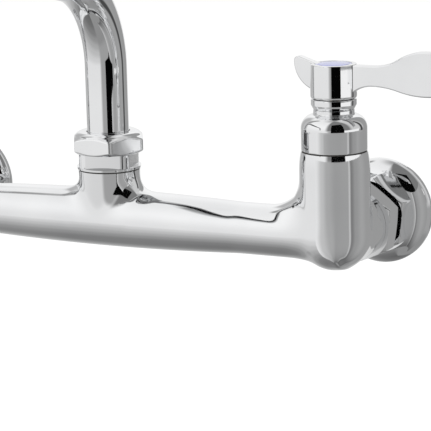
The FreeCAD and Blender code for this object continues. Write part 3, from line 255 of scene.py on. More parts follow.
def neck_distance(p):
    """An upright cone, wider at the top, with a round bottom inside the bar."""
    slope = (NECK_RADIUS - NECK_ROOT) / NECK_TOP
    across = np.hypot(p[:, 0], p[:, 1])
    return np.where(p[:, 2] > 0, across - slope * p[:, 2], np.hypot(across, p[:, 2])) - NECK_ROOT


def tower_distance(p):
    """Upright round towers with a round foot and a drawn-in crown."""
    across = np.hypot(np.abs(p[:, 0]) - VALVE, p[:, 1])
    rise = np.clip((p[:, 2] - TOWER_SHOULDER) / (TOWER_TOP - TOWER_SHOULDER), 0, CROWN_LIMIT)
    radius = TOWER_RADIUS - (TOWER_RADIUS - TOWER_CROWN) * rise ** 2
    return np.where(p[:, 2] > 0, across - radius, np.hypot(across, p[:, 2]) - TOWER_RADIUS)


def arm_distance(p):
    """Level round arms towards the wall, with a round front inside the towers."""
    across = np.hypot(np.abs(p[:, 0]) - VALVE, p[:, 2])
    return np.where(p[:, 1] > 0, across - ARM_RADIUS, np.hypot(across, p[:, 1]) - ARM_RADIUS)


def slope_of(distance, p):
    """Unit directions in which a distance grows."""
    out = np.empty_like(p)
    for axis in range(3):
        shift = np.zeros(3)
        shift[axis] = PROBE
        out[:, axis] = distance(p + shift) - distance(p - shift)
    return out / np.maximum(np.linalg.norm(out, axis=1, keepdims=True), TINY)


def blended(first, second, bend):
    """Two forms joined with a ball-rolled fillet of the given radius."""
    def distance(p):
        a, b = first(p), second(p)
        out = np.minimum(a, b)
        near = (a < bend) & (b < bend) & (np.maximum(a, b) > -bend)
        q = p[near]
        cosine = np.sum(slope_of(first, q) * slope_of(second, q), axis=1)
        sine2 = np.maximum(1 - cosine ** 2, PARALLEL)
        to_a, to_b = bend - a[near], bend - b[near]
        along_a, along_b = (to_a - to_b * cosine) / sine2, (to_b - to_a * cosine) / sine2
        gap2 = along_a ** 2 + along_b ** 2 + 2 * along_a * along_b * cosine
        ball = bend - np.sqrt(np.maximum(gap2, 0))
        inside = (along_a > 0) & (along_b > 0)
        out[near] = np.where(inside, np.minimum(ball, out[near]), out[near])
        return out
    return distance


def casting_distance():
    """The whole body's form: bar, neck and towers rolled together, and the arms behind."""
    bar_and_neck = blended(bar_distance, neck_distance, NECK_BLEND)
    with_towers = blended(bar_and_neck, tower_distance, TOWER_BLEND)
    return lambda p: soft_smaller(with_towers(p), arm_distance(p), ARM_SOFT)


def box_mesh(name, low, high):
    """A plain block, as raw material for the casting."""
    corners = [
        (x, y, z)
        for z in (low[2], high[2])
        for y in (low[1], high[1])
        for x in (low[0], high[0])
    ]
    faces = [(0, 2, 3, 1), (4, 5, 7, 6), (0, 1, 5, 4), (2, 6, 7, 3), (0, 4, 6, 2), (1, 3, 7, 5)]
    return make_object(name, corners, faces)


def cast_blocks():
    """Overlapping blocks for the bar, the neck and each side's tower and arm."""
    bar, post = BLOCK_BAR, BLOCK_POST
    neck_high, tower_high, arm_back = NECK_TOP + CUT_PAST, TOWER_TOP + CUT_PAST, ARM_END + CUT_PAST
    blocks = [
        box_mesh("cast_bar", (-VALVE, -bar, -bar), (VALVE, bar, bar)),
        box_mesh("cast_neck", (-post, -post, 0), (post, post, neck_high)),
    ]
    for name, side in SIDES.items():
        left, right = side * VALVE - post, side * VALVE + post
        blocks.append(box_mesh(f"cast_tower_{name}", (left, -post, -post), (right, post, tower_high)))
        blocks.append(box_mesh(f"cast_arm_{name}", (left, 0, -post), (right, arm_back, post)))
    return blocks


def joined(objects):
    """One object from several, under the first one's data."""
    bpy.ops.object.select_all(action="DESELECT")
    for obj in objects:
        obj.select_set(True)
    bpy.context.view_layer.objects.active = objects[0]
    bpy.ops.object.join()
    return bpy.context.view_layer.objects.active


def evenly_meshed(obj):
    """Replace an object's mesh with an even one that runs over all its blocks."""
    remesh = obj.modifiers.new("remesh", "REMESH")
    remesh.mode = "VOXEL"
    remesh.voxel_size = CAST_VOXEL * MM
    bpy.ops.object.modifier_apply(modifier=remesh.name)


def draw_onto(mesh, distance):
    """Move a mesh onto the surface where a distance is nought, and out to the bar's axis."""
    p = np.empty(len(mesh.vertices) * 3)
    mesh.vertices.foreach_get("co", p)
    p = p.reshape(-1, 3) / MM
    for _ in range(DRAW_ROUNDS):
        p -= slope_of(distance, p) * distance(p)[:, None]
    mesh.vertices.foreach_set("co", (p * MM + np.array([0, BAR_Y * MM, 0])).ravel())


def rub_smooth(mesh):
    """Rub the small waves out of a surface, as polishing does."""
    work = bmesh.new()
    work.from_mesh(mesh)
    for _ in range(RUB_ROUNDS):
        bmesh.ops.smooth_vert(
            work, verts=work.verts, factor=RUB_SHARE, use_axis_x=True, use_axis_y=True, use_axis_z=True)
    work.to_mesh(mesh)
    work.free()


def cut_square(mesh, point, normal, inside=None):
    """Cut a mesh off square at a plane, in millimetres, and close it."""
    work = bmesh.new()
    work.from_mesh(mesh)
    verts = [v for v in work.verts if inside is None or inside(v.co / MM)]
    chosen = set(verts)
    edges = [e for e in work.edges if all(v in chosen for v in e.verts)]
    faces = [f for f in work.faces if all(v in chosen for v in f.verts)]
    cut = bmesh.ops.bisect_plane(
        work, geom=verts + edges + faces, plane_co=Vector(point) * MM, plane_no=Vector(normal),
        clear_outer=True)
    rim = [item for item in cut["geom_cut"] if isinstance(item, bmesh.types.BMEdge)]
    bmesh.ops.holes_fill(work, edges=rim)
    work.to_mesh(mesh)
    work.free()


def is_neck(p):
    """Whether a place belongs to the neck, above the bar."""
    return abs(p.x) < 2 * NECK_RADIUS and p.z > BAR_RADIUS


def make_casting():
    """The one-piece body: blocks drawn onto the blended form, rubbed and cut square."""
    casting = joined(cast_blocks())
    casting.name = "cast_body"
    evenly_meshed(casting)
    mesh = casting.data
    draw_onto(mesh, casting_distance())
    rub_smooth(mesh)
    cut_square(mesh, (0, 0, TOWER_TOP), (0, 0, 1))
    cut_square(mesh, (0, BAR_Y + ARM_END, 0), (0, 1, 0))
    cut_square(mesh, (0, 0, NECK_TOP), (0, 0, 1), inside=is_neck)
    smooth_shaded(mesh)
    return casting


# ------------------------------------------------------- turned pieces of the valves

# An outline's corners are (across, along) or (across, along, bend).

HAIR = 0.02             # the least step in an outline
ROW_GAP = 0.05          # parts the last milled row of an outline from the next round one

# Gaps between pieces that sit in one another.
BUTTON_GAP = 0.05
SOCKET_GAP = 0.06
THREAD_GAP = 0.1
RUNNING_GAP = 0.3

SEAM = 34.7             # the bonnet's lower face
BONNET_THREAD = 10.5
BONNET_RADIUS = 13.2
BONNET_LEDGE = 42.9     # the top of its hexagon
BONNET_FLATS = Flats(6, 25.8, 21.3, SEAM, BONNET_LEDGE, 0.35)
DOME_START = 43.4
DOME_TOP = 48.9
DOME_BEND = 5.6
DOME_FOOT = 0.6         # the small step from the dome down to the waist
WAIST_RADIUS = 8.2
WAIST_TOP = 51.0
STUB_RADIUS = 6.9
GLAND_RADIUS = 9.1
GLAND_CONE = 1.75
GLAND_BORE = STUB_RADIUS + THREAD_GAP
GLAND_CEILING = 53.85   # the gland nut's inside, over the stub's top
STEM_HOLE = 5.5

HUB_RADIUS = 9.24
HUB_BOTTOM = 55.4
HUB_TOP = 68.9
DRIVE_HALF = 3.2
BUTTON_RADIUS = 7.3
BUTTON_FLOOR = 65.2
BUTTON_SUNK = 0.1
BUTTON_THICK = 1.6
BUTTON_CROWN = 0.7
CROWN_BEND = 31.0
CROWN_STEPS = 14
GROOVE_OUT = 6.6        # radii of the moulded groove inside the button's rim
GROOVE_FLOOR = 6.4
GROOVE_IN = 6.2
GROOVE_DEEP = 0.25
GROOVE_EDGE = 0.06
CENTRE = 0.02           # radius at which an outline stops short of its own axis


def make_bonnet(name, place):
    """The hexagon with its dome and waist, screwed into the tower."""
    low, high = reach(f"bonnet_{name}")
    dome = arc((BONNET_RADIUS, DOME_START), (WAIST_RADIUS + DOME_FOOT, DOME_TOP), DOME_BEND, -1)
    return turned(f"bonnet_shell_{name}", [
        (STEM_HOLE, low.z), (BONNET_THREAD, low.z, 0.5), (BONNET_THREAD, SEAM),
        (BONNET_RADIUS, SEAM, 0.3), (BONNET_RADIUS, BONNET_LEDGE), (BONNET_RADIUS, BONNET_LEDGE + ROW_GAP),
        *dome, (WAIST_RADIUS, DOME_TOP + DOME_FOOT, 0.4), (WAIST_RADIUS, WAIST_TOP, 0.25),
        (STUB_RADIUS, WAIST_TOP), (STUB_RADIUS, high.z, 0.3), (STEM_HOLE, high.z),
    ], place, flats=BONNET_FLATS)


def make_gland(name, place):
    """The ringed collar over the bonnet's stub."""
    low, high = reach(f"gland_nut_{name}")
    return turned(f"gland_ring_{name}", [
        (GLAND_BORE, low.z), (WAIST_RADIUS, low.z, 0.3), (GLAND_RADIUS, low.z + GLAND_CONE, 0.5),
        (GLAND_RADIUS, high.z, 0.6), (STEM_HOLE, high.z), (STEM_HOLE, GLAND_CEILING),
        (GLAND_BORE, GLAND_CEILING),
    ], place)


def make_hub(name, place):
    """The lever's round hub with the recess for the index button."""
    recess = BUTTON_RADIUS + BUTTON_GAP
    return turned(f"lever_hub_{name}", [
        (DRIVE_HALF, HUB_BOTTOM), (HUB_RADIUS, HUB_BOTTOM, 0.9), (HUB_RADIUS, HUB_TOP, 0.4),
        (recess, HUB_TOP, 0.15), (recess, BUTTON_FLOOR), (DRIVE_HALF, BUTTON_FLOOR),
    ], place)


def make_button(name, place):
    """The crowned index button, with a fine moulded groove inside its rim."""
    rim = HUB_TOP - BUTTON_SUNK
    floor = rim - BUTTON_THICK
    crown = arc((GROOVE_IN, rim + GROOVE_EDGE), (CENTRE, rim + BUTTON_CROWN), CROWN_BEND, -1, CROWN_STEPS)
    return turned(f"index_cap_{name}", [
        (CENTRE, floor), (BUTTON_RADIUS, floor), (BUTTON_RADIUS, rim, 0.25),
        (GROOVE_OUT, rim - HAIR, 0.1), (GROOVE_FLOOR, rim - GROOVE_DEEP, 0.1), *crown,
    ], place)


# ------------------------------------------------------- turned pieces of the unions

UNION_ACROSS = 29.6
UNION_TURN = 23.0
UNION_CORNER = UNION_ACROSS / math.sqrt(3)
UNION_FACE = UNION_CORNER - 1.6     # the flat end inside the hexagon's chamfer
UNION_CHAMFER = 1.0
UNION_BORE = 12.5
UNION_LIP = 1.4
TAIL_RADIUS = 9.0
TAIL_COLLAR = 11.9
TAIL_COLLAR_THICK = 1.15
TAIL_SOCKET = TAIL_RADIUS + THREAD_GAP
TAIL_HOLE = TAIL_RADIUS + RUNNING_GAP
WATER_WAY = 6.5
FLANGE_RADIUS = 22.2
FLANGE_RIM = 2.0
FLANGE_RISE = 5.6       # from the rim up to the foot of the hexagon
FLANGE_BEND = 12.0
INLET_BORE = 9.9
INLET_DEPTH = 12.0


def depths(node):
    """A node's front and back, measured from the bar's axis."""
    low, high = reach(node)
    return low.y - BAR_Y, high.y - BAR_Y


def union_flats(low, high):
    return Flats(6, UNION_ACROSS, UNION_TURN, low, high)


def make_coupling_nut(name, place):
    """The hexagon union nut behind the tower, with the lip that pulls on the tail."""
    front, back = depths(f"coupling_nut_{name}")
    lip = back - UNION_LIP
    return turned(f"union_nut_{name}", [
        (UNION_BORE, front), (UNION_FACE, front, 0.2), (UNION_CORNER, front + UNION_CHAMFER, 0.3),
        (UNION_CORNER, back - UNION_CHAMFER, 0.3), (UNION_FACE, back, 0.2), (TAIL_HOLE, back),
        (TAIL_HOLE, lip), (UNION_BORE, lip),
    ], place, axis="Y", flats=union_flats(front, back))


def make_tail(name, place):
    """The short tube between arm and flange, with the collar that the nut pulls on."""
    front, back = depths(f"union_tail_{name}")
    collar_back = front + TAIL_COLLAR_THICK
    return turned(f"union_tube_{name}", [
        (WATER_WAY, front), (TAIL_COLLAR, front, 0.2), (TAIL_COLLAR, collar_back, 0.2),
        (TAIL_RADIUS, collar_back), (TAIL_RADIUS, back, 0.2), (WATER_WAY, back),
    ], place, axis="Y")


def make_flange(name, place):
    """The round wall flange with its own hexagon and the inlet behind."""
    front, wall = depths(f"inlet_flange_{name}")
    rim, half, inlet = wall - FLANGE_RIM, UNION_ACROSS / 2, wall - INLET_DEPTH
    foot = rim - FLANGE_RISE
    return turned(f"wall_flange_{name}", [
        (TAIL_SOCKET, front), (UNION_FACE, front, 0.2), (UNION_CORNER, front + UNION_CHAMFER, 0.3),
        (UNION_CORNER, foot), (half, foot + HAIR),
        *arc((half, foot + 2 * HAIR), (FLANGE_RADIUS, rim), FLANGE_BEND, -1),
        (FLANGE_RADIUS, wall, 0.4), (INLET_BORE, wall, 0.3), (INLET_BORE, inlet), (TAIL_SOCKET, inlet),
    ], place, axis="Y", flats=union_flats(front, foot))


# -------------------------------------------------------- turned pieces of the spout

TUBE_RADIUS = 8.73
TUBE_WALL = 1.3

ADAPTER_WATER = 7.4
ADAPTER_PLUG = 10.2
ADAPTER_WASHER = 13.3
ADAPTER_COLLAR = 13.7
ADAPTER_ACROSS = 21.6
ADAPTER_TURN = -31.0
ADAPTER_FACE = NECK_TOP + 0.5       # the washer's lower and upper face
ADAPTER_FOOT = NECK_TOP + 1.6
STUB_FOOT = 28.0
STUB_THREAD = 11.6
SEAT_RADIUS = 10.76     # the recess for the tube's collar
SEAT_FLOOR = 29.95
SOCKET_FLOOR = 22.3

SPOUT_NUT_ACROSS = 28.4
SPOUT_NUT_TURN = -61.0
SPOUT_NUT_CORNER = SPOUT_NUT_ACROSS / math.sqrt(3)
SPOUT_NUT_FACE = SPOUT_NUT_CORNER - 2.4
SPOUT_NUT_CHAMFER = 1.5
SPOUT_NUT_TOP = 35.3
SPOUT_NUT_CEILING = 34.45
SPOUT_NUT_BORE = 11.7
SPOUT_NUT_LAND = 0.1    # flat ring between the chamfer and the rounded top
SPOUT_NUT_DOME = 4.5    # the rounded top: its bend and how far in from the corners it ends

HOUSING_RADIUS = 12.2
HOUSING_ACROSS = 22.6
HOUSING_MOUTH = 9.3
HOUSING_BORE = 10.7
HOUSING_LOW = -9.0      # levels from the lower end of the tube's fitting
HOUSING_SHELF = -7.8
HOUSING_LEDGE = -4.0
HOUSING_HIGH = 7.0


def make_adapter(place):
    """The spout's seat in the neck: washer face, four wrench flats and threaded stub."""
    low, high = reach("spout_adapter")
    socket = TUBE_RADIUS + SOCKET_GAP
    return turned("spout_seat", [
        (ADAPTER_WATER, low.z), (ADAPTER_PLUG, low.z, 0.3), (ADAPTER_PLUG, ADAPTER_FACE),
        (ADAPTER_WASHER, ADAPTER_FACE, 0.25), (ADAPTER_WASHER, ADAPTER_FOOT, 0.25),
        (ADAPTER_COLLAR, ADAPTER_FOOT + ROW_GAP), (ADAPTER_COLLAR, STUB_FOOT, 0.3),
        (STUB_THREAD, STUB_FOOT), (STUB_THREAD, high.z, 0.3), (SEAT_RADIUS, high.z),
        (SEAT_RADIUS, SEAT_FLOOR), (socket, SEAT_FLOOR), (socket, SOCKET_FLOOR),
        (ADAPTER_WATER, SOCKET_FLOOR),
    ], place, flats=Flats(4, ADAPTER_ACROSS, ADAPTER_TURN, ADAPTER_FOOT + HAIR, STUB_FOOT))


def make_spout_nut(place):
    """The hexagon that holds the spout down, with a rounded top."""
    low, high = reach("spout_nut")
    face, corner, top = SPOUT_NUT_FACE, SPOUT_NUT_CORNER, SPOUT_NUT_TOP
    hole, dome_end = TUBE_RADIUS + RUNNING_GAP, (corner - SPOUT_NUT_DOME, high.z)
    dome = arc((face - SPOUT_NUT_LAND, top + ROW_GAP), dome_end, SPOUT_NUT_DOME, -1)
    return turned("spout_cap_nut", [
        (SPOUT_NUT_BORE, low.z), (face, low.z, 0.3), (corner, low.z + SPOUT_NUT_CHAMFER, 0.3),
        (corner, top - SPOUT_NUT_CHAMFER, 0.3), (face, top, 0.2), *dome[1:], (hole, high.z, 0.2),
        (hole, SPOUT_NUT_CEILING), (SPOUT_NUT_BORE, SPOUT_NUT_CEILING),
    ], place, flats=Flats(6, SPOUT_NUT_ACROSS, SPOUT_NUT_TURN, low.z, top + HAIR / 2))


def make_housing(place):
    """The aerator's housing, with its two wrench flats."""
    return turned("outlet_cap", [
        (HOUSING_MOUTH, HOUSING_LOW, 0.2), (HOUSING_RADIUS, HOUSING_LOW, 0.9),
        (HOUSING_RADIUS, HOUSING_LEDGE), (HOUSING_RADIUS, HOUSING_LEDGE + ROW_GAP),
        (HOUSING_RADIUS, HOUSING_HIGH, 0.7), (HOUSING_BORE, HOUSING_HIGH, 0.15),
        (HOUSING_BORE, HOUSING_SHELF), (HOUSING_MOUTH, HOUSING_SHELF, 0.1),
    ], place, flats=Flats(2, HOUSING_ACROSS, 0.0, HOUSING_LOW, HOUSING_LEDGE, 0.3))


# ------------------------------------------------------------------ bent tube

SPOUT_RISE = math.radians(12.0)
TUBE_BOTTOM = 22.6
BEND_START = 63.5
BEND_RADIUS = 40.0
END_BEND_RADIUS = 32.0
OUTLET_DROP = 14.0
TUBE_SIDES = 96
PATH_STEP = 1.5


def tube_path():
    """Centre points and directions along the spout, as (forward, up) in millimetres."""
    first_bend = BEND_RADIUS * (1 - math.sin(SPOUT_RISE))
    end_bend = END_BEND_RADIUS * (1 + math.sin(SPOUT_RISE))
    run = BAR_Y - OUTLET_Y - first_bend - end_bend
    stretches = [               # length and 0, or bend radius and angle
        (BEND_START - TUBE_BOTTOM, 0),
        (BEND_RADIUS, math.pi / 2 - SPOUT_RISE),
        (run / math.cos(SPOUT_RISE), 0),
        (END_BEND_RADIUS, math.pi / 2 + SPOUT_RISE),
        (OUTLET_DROP, 0),
    ]
    point, heading = np.array([0.0, TUBE_BOTTOM]), math.pi / 2
    out = [(point, heading)]
    for size, angle in stretches:
        length = size * angle if angle else size
        steps = math.ceil(length / PATH_STEP)
        turn = angle / steps
        chord = 2 * size * math.sin(turn / 2) if angle else length / steps
        for _ in range(steps):
            along = heading - turn / 2
            point = point + chord * np.array([math.cos(along), math.sin(along)])
            heading -= turn
            out.append((point, heading))
    return out


def make_tube():
    """The bent tube with its bore, from ring after ring along the path."""
    path, points = tube_path(), []
    around = np.linspace(0, 2 * math.pi, TUBE_SIDES, endpoint=False)
    rings = [(centre, heading, TUBE_RADIUS) for centre, heading in path]
    rings += [(centre, heading, TUBE_RADIUS - TUBE_WALL) for centre, heading in path[::-1]]
    for (forward, up), heading, radius in rings:
        lift = radius * np.sin(around)
        depth = BAR_Y - forward + lift * math.sin(heading)
        height = up + lift * math.cos(heading)
        points.append(np.stack([radius * np.cos(around), depth, height], axis=1))
    return make_object("spout_pipe", np.concatenate(points), ring_quads(len(rings), TUBE_SIDES))


# ------------------------------------------------------------------ lever blades

BLADE_THICK = 4.2
BLADE_ROUND = 0.6
ROUND_PARTS = 4

# Distances out from the valve's axis.
BLADE_ROOT = HUB_RADIUS - 0.9
BLADE_NECK = 17.0
BLADE_WIDE = 38.5
BLADE_TIP = 58.5

# Heights of the blade's middle, neck and root, and half the height of its wide part.
BLADE_MIDDLE = 66.1
BLADE_NECK_TOP = 68.7
BLADE_NECK_LOW = 60.6
BLADE_ROOT_LOW = 57.4
BLADE_HALF = 8.8

FLANK_BEND = 50.0
FIN_TIP = (-16.1, 69.7)
FIN_BEND = 12.2
FIN_NOSE = 1.8
FIN_NOSE_STEPS = 6
FIN_SLOPE = math.radians(19.0)
CLOSE = 0.02            # outline points nearer than this are one point
LEVEL = 1e-7            # an edge with less depth than this, in metres, lies in a flat side


def blade_outline():
    """The lever's side view as (out, up) points, with its tail fin left of the hub."""
    between = (BLADE_NECK + BLADE_WIDE) / 2
    top, low = BLADE_MIDDLE + BLADE_HALF, BLADE_MIDDLE - BLADE_HALF
    top_mid, low_mid = (BLADE_NECK_TOP + top) / 2, (BLADE_NECK_LOW + low) / 2
    root_bend = arc_radius(BLADE_NECK - BLADE_ROOT, BLADE_NECK_LOW - BLADE_ROOT_LOW)
    low_bend = arc_radius(between - BLADE_NECK, BLADE_NECK_LOW - low_mid)
    top_bend = arc_radius(between - BLADE_NECK, top_mid - BLADE_NECK_TOP)

    depth = math.sqrt(FLANK_BEND ** 2 - (BLADE_TIP - BLADE_WIDE) ** 2)
    tip_half = BLADE_HALF - FLANK_BEND + depth
    tip_bend = tip_half * FLANK_BEND / depth

    fin_run = FIN_BEND + FIN_TIP[0] + BLADE_ROOT
    fin_root = FIN_TIP[1] - math.sqrt(FIN_BEND ** 2 - fin_run ** 2)
    nose_out = FIN_TIP[0] + FIN_NOSE + FIN_NOSE * math.sin(FIN_SLOPE)
    nose_up = FIN_TIP[1] + FIN_NOSE * math.cos(FIN_SLOPE)
    fin_foot = nose_out + (nose_up - BLADE_NECK_TOP) / math.tan(FIN_SLOPE)

    root_low, neck_low = (BLADE_ROOT, BLADE_ROOT_LOW), (BLADE_NECK, BLADE_NECK_LOW)
    wide_low, wide_top = (BLADE_WIDE, low), (BLADE_WIDE, top)
    tip_low, tip_top = (BLADE_TIP, BLADE_MIDDLE - tip_half), (BLADE_TIP, BLADE_MIDDLE + tip_half)
    back, nose = (-BLADE_ROOT, fin_root), (nose_out, nose_up)
    out = [back, root_low]
    out += arc(root_low, neck_low, root_bend, 1)
    out += arc(neck_low, (between, low_mid), low_bend, 1)
    out += arc((between, low_mid), wide_low, low_bend, -1)
    out += arc(wide_low, tip_low, FLANK_BEND, -1)
    out += arc(tip_low, tip_top, tip_bend, -1)
    out += arc(tip_top, wide_top, FLANK_BEND, -1)
    out += arc(wide_top, (between, top_mid), top_bend, -1)
    out += arc((between, top_mid), (BLADE_NECK, BLADE_NECK_TOP), top_bend, 1)
    out += [(fin_foot, BLADE_NECK_TOP), nose]
    out += arc(nose, FIN_TIP, FIN_NOSE, -1, FIN_NOSE_STEPS)
    out += arc(FIN_TIP, back, FIN_BEND, -1)
    return out


def make_blade(name, side):
    """A flat plate cut to the lever's outline, with its two long edges rounded."""
    outline = blade_outline()
    kept = [point for i, point in enumerate(outline) if math.dist(point, outline[i - 1]) > CLOSE]
    work = bmesh.new()
    place = Vector((side * VALVE, BAR_Y, 0))
    front = -BLADE_THICK / 2
    edge = [work.verts.new((place + Vector((side * x, front, z))) * MM) for x, z in kept]
    face = work.faces.new(edge)
    grown = bmesh.ops.extrude_face_region(work, geom=[face])["geom"]
    moved = [item for item in grown if isinstance(item, bmesh.types.BMVert)]
    bmesh.ops.translate(work, verts=moved, vec=(0, BLADE_THICK * MM, 0))
    bmesh.ops.recalc_face_normals(work, faces=work.faces)
    rims = [e for e in work.edges if abs(e.verts[0].co.y - e.verts[1].co.y) < LEVEL]
    bmesh.ops.bevel(
        work, geom=rims, offset=BLADE_ROUND * MM, segments=ROUND_PARTS, profile=0.5, affect="EDGES")
    mesh = bpy.data.meshes.new(name)
    work.to_mesh(mesh)
    work.free()
    smooth_shaded(mesh)
    blade = new_object(name, mesh)
    weighted = blade.modifiers.new("weighted", "WEIGHTED_NORMAL")
    weighted.keep_sharp = True
    return blade


# ------------------------------------------------------------------ materials

NOISE_LOW = 0.3         # the reach of most noise values
NOISE_HIGH = 0.7
CLOUD_DETAIL = 4.0
METAL_CLOUDS = 35.0     # noise scales, in patches to the metre
METAL_WAVES = 70.0
METAL_DETAIL = 2.0
WAVE_STRENGTH = 0.6
MOULD_CLOUDS = 60.0
MOULD_DETAIL = 3.0
SKIN_STRENGTH = 0.4
ROUGH_SPREAD = 0.15


class Finish:
    """One material, built up from noise in the piece's own coordinates."""

    def __init__(self, name):
        self.material = bpy.data.materials.new(name)
        self.material.use_nodes = True
        self.tree = self.material.node_tree
        self.shader = self.tree.nodes["Principled BSDF"]
        self.place = self.tree.nodes.new("ShaderNodeTexCoord").outputs["Object"]

    def noise(self, scale, detail):
        node = self.tree.nodes.new("ShaderNodeTexNoise")
        node.inputs["Scale"].default_value = scale
        node.inputs["Detail"].default_value = detail
        self.tree.links.new(self.place, node.inputs["Vector"])
        return node.outputs["Fac"]

    def colours(self, factor, low, high):
        node = self.tree.nodes.new("ShaderNodeValToRGB")
        first, last = node.color_ramp.elements
        first.position = NOISE_LOW
        last.position = NOISE_HIGH
        first.color = (*low, 1)
        last.color = (*high, 1)
        self.tree.links.new(factor, node.inputs["Fac"])
        self.tree.links.new(node.outputs["Color"], self.shader.inputs["Base Color"])

    def roughness(self, factor, low, high):
        node = self.tree.nodes.new("ShaderNodeMapRange")
        node.inputs["From Min"].default_value = NOISE_LOW
        node.inputs["From Max"].default_value = NOISE_HIGH
        node.inputs["To Min"].default_value = low
        node.inputs["To Max"].default_value = high
        self.tree.links.new(factor, node.inputs["Value"])
        self.tree.links.new(node.outputs["Result"], self.shader.inputs["Roughness"])

    def bump(self, factor, strength, depth):
        """Relief of the given depth in millimetres."""
        node = self.tree.nodes.new("ShaderNodeBump")
        node.inputs["Strength"].default_value = strength
        node.inputs["Distance"].default_value = depth * MM
        self.tree.links.new(factor, node.inputs["Height"])
        self.tree.links.new(node.outputs["Normal"], self.shader.inputs["Normal"])


def metal(name, low, high, rough_low, rough_high, wave_depth, grain=900.0):
    """Plated or machined metal: faint waves under the polish and uneven gloss."""
    finish = Finish(name)
    finish.shader.inputs["Metallic"].default_value = 1.0
    finish.colours(finish.noise(METAL_CLOUDS, CLOUD_DETAIL), low, high)
    finish.roughness(finish.noise(grain, METAL_DETAIL), rough_low, rough_high)
    finish.bump(finish.noise(METAL_WAVES, METAL_DETAIL), WAVE_STRENGTH, wave_depth)
    return finish.material


def moulded(name, low, high, rough, coat=0.0, skin=400.0, depth=0.02):
    """Rubber, fibre, ceramic or plastic: mottled colour and a fine skin."""
    finish = Finish(name)
    finish.colours(finish.noise(MOULD_CLOUDS, CLOUD_DETAIL), low, high)
    finish.roughness(
        finish.noise(skin, MOULD_DETAIL), rough * (1 - ROUGH_SPREAD), rough * (1 + ROUGH_SPREAD))
    finish.bump(finish.noise(skin * 2, MOULD_DETAIL), SKIN_STRENGTH, depth)
    finish.shader.inputs["Coat Weight"].default_value = coat
    return finish.material


PLATE_LOW = (0.86, 0.865, 0.875)
PLATE_HIGH = (0.92, 0.925, 0.93)
CHROME = metal("chrome", PLATE_LOW, PLATE_HIGH, 0.03, 0.06, 0.01)
CAST_CHROME = metal("cast_chrome", PLATE_LOW, PLATE_HIGH, 0.04, 0.08, 0.02)
LOOKS = {
    "chrome": CHROME,
    "brass": metal("brass", (0.72, 0.54, 0.26), (0.80, 0.62, 0.34), 0.22, 0.34, 0.02, 1500.0),
    "stainless": metal("stainless", (0.52, 0.52, 0.52), (0.62, 0.62, 0.61), 0.2, 0.35, 0.01, 2500.0),
    "rubber": moulded("rubber", (0.018, 0.018, 0.019), (0.03, 0.03, 0.032), 0.6),
    "fibre": moulded("fibre", (0.035, 0.032, 0.03), (0.06, 0.056, 0.052), 0.8, skin=900.0, depth=0.05),
    "ceramic": moulded("ceramic", (0.86, 0.84, 0.78), (0.92, 0.9, 0.85), 0.2, coat=0.3),
    "slip_plastic": moulded("slip_plastic", (0.82, 0.82, 0.79), (0.88, 0.88, 0.85), 0.45),
    "hot_index": moulded("hot_index", (0.5, 0.06, 0.06), (0.62, 0.1, 0.09), 0.18, coat=0.5),
    "cold_index": moulded("cold_index", (0.36, 0.38, 0.66), (0.46, 0.48, 0.74), 0.18, coat=0.5),
}


# ------------------------------------------------------------------ the faucet

def dress(obj, body, look, node):
    """Give a piece its material and body, and hide the node it stands for."""
    obj.data.materials.clear()
    obj.data.materials.append(look)
    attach(obj, body)
    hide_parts(node)


def dress_nodes():
    """Every node takes the look of its material slot; the brass at the outlet is plated."""
    slots = {row["node"]: row["material_slot"] for row in frame["record"]["subparts"]}
    for node, obj in frame["nodes"].items():
        plated = node == "outlet_fitting"
        obj.data.materials.clear()
        obj.data.materials.append(CHROME if plated else LOOKS[slots[node]])


def make_faucet():
    """Every node dressed, and those that show made again with finer meshes."""
    dress_nodes()
    dress(make_casting(), "faucet", CAST_CHROME, "faucet_body")
    neck = (0, BAR_Y, 0)
    dress(make_adapter(neck), "faucet", CHROME, "spout_adapter")
    dress(make_spout_nut(neck), "faucet", CHROME, "spout_nut")
    dress(make_tube(), "spout", CHROME, "spout_tube")
    dress(make_housing((0, OUTLET_Y, OUTLET_Z)), "spout", CHROME, "aerator_housing")
    for name, side in SIDES.items():
        place = (side * VALVE, BAR_Y, 0)
        handle, index = HANDLE_BODY[name], INDEX_LOOK[name]
        dress(make_bonnet(name, place), "faucet", CHROME, f"bonnet_{name}")
        dress(make_gland(name, place), "faucet", CHROME, f"gland_nut_{name}")
        dress(make_coupling_nut(name, place), "faucet", CHROME, f"coupling_nut_{name}")
        dress(make_tail(name, place), "faucet", CHROME, f"union_tail_{name}")
        dress(make_flange(name, place), "faucet", CHROME, f"inlet_flange_{name}")
        dress(make_hub(name, place), handle, CHROME, f"lever_handle_{name}")
        dress(make_blade(f"lever_blade_{name}", side), handle, CHROME, f"lever_handle_{name}")
        dress(make_button(name, place), handle, LOOKS[index], f"index_button_{name}")


# ------------------------------------------------------------------ camera

CAMERA_AT = Vector((421.00, -812.32, 186.46))
CAMERA_RIGHT = Vector((0.900065, 0.435119, -0.023548))
CAMERA_UP = Vector((-0.070945, 0.199643, 0.977297))
CAMERA_FAR = 100000.0   # how far it sees, well past the floor's edge
FOCAL_PIXELS = 2119.44
PHOTO_PIXELS = 431
SENSOR = 36.0


def make_camera():
    """The camera, where the photograph's was."""
    data = bpy.data.cameras.new("camera")
    data.sensor_width = SENSOR
    data.lens = SENSOR * FOCAL_PIXELS / PHOTO_PIXELS
    data.clip_end = CAMERA_FAR * MM
    camera = new_object("camera", data)
    back = CAMERA_RIGHT.cross(CAMERA_UP).normalized()
    turn = Matrix((CAMERA_RIGHT, CAMERA_UP, back)).transposed()
    camera.matrix_world = Matrix.Translation(CAMERA_AT * MM) @ turn.to_4x4()
    bpy.context.scene.camera = camera


# ------------------------------------------------------------------ studio

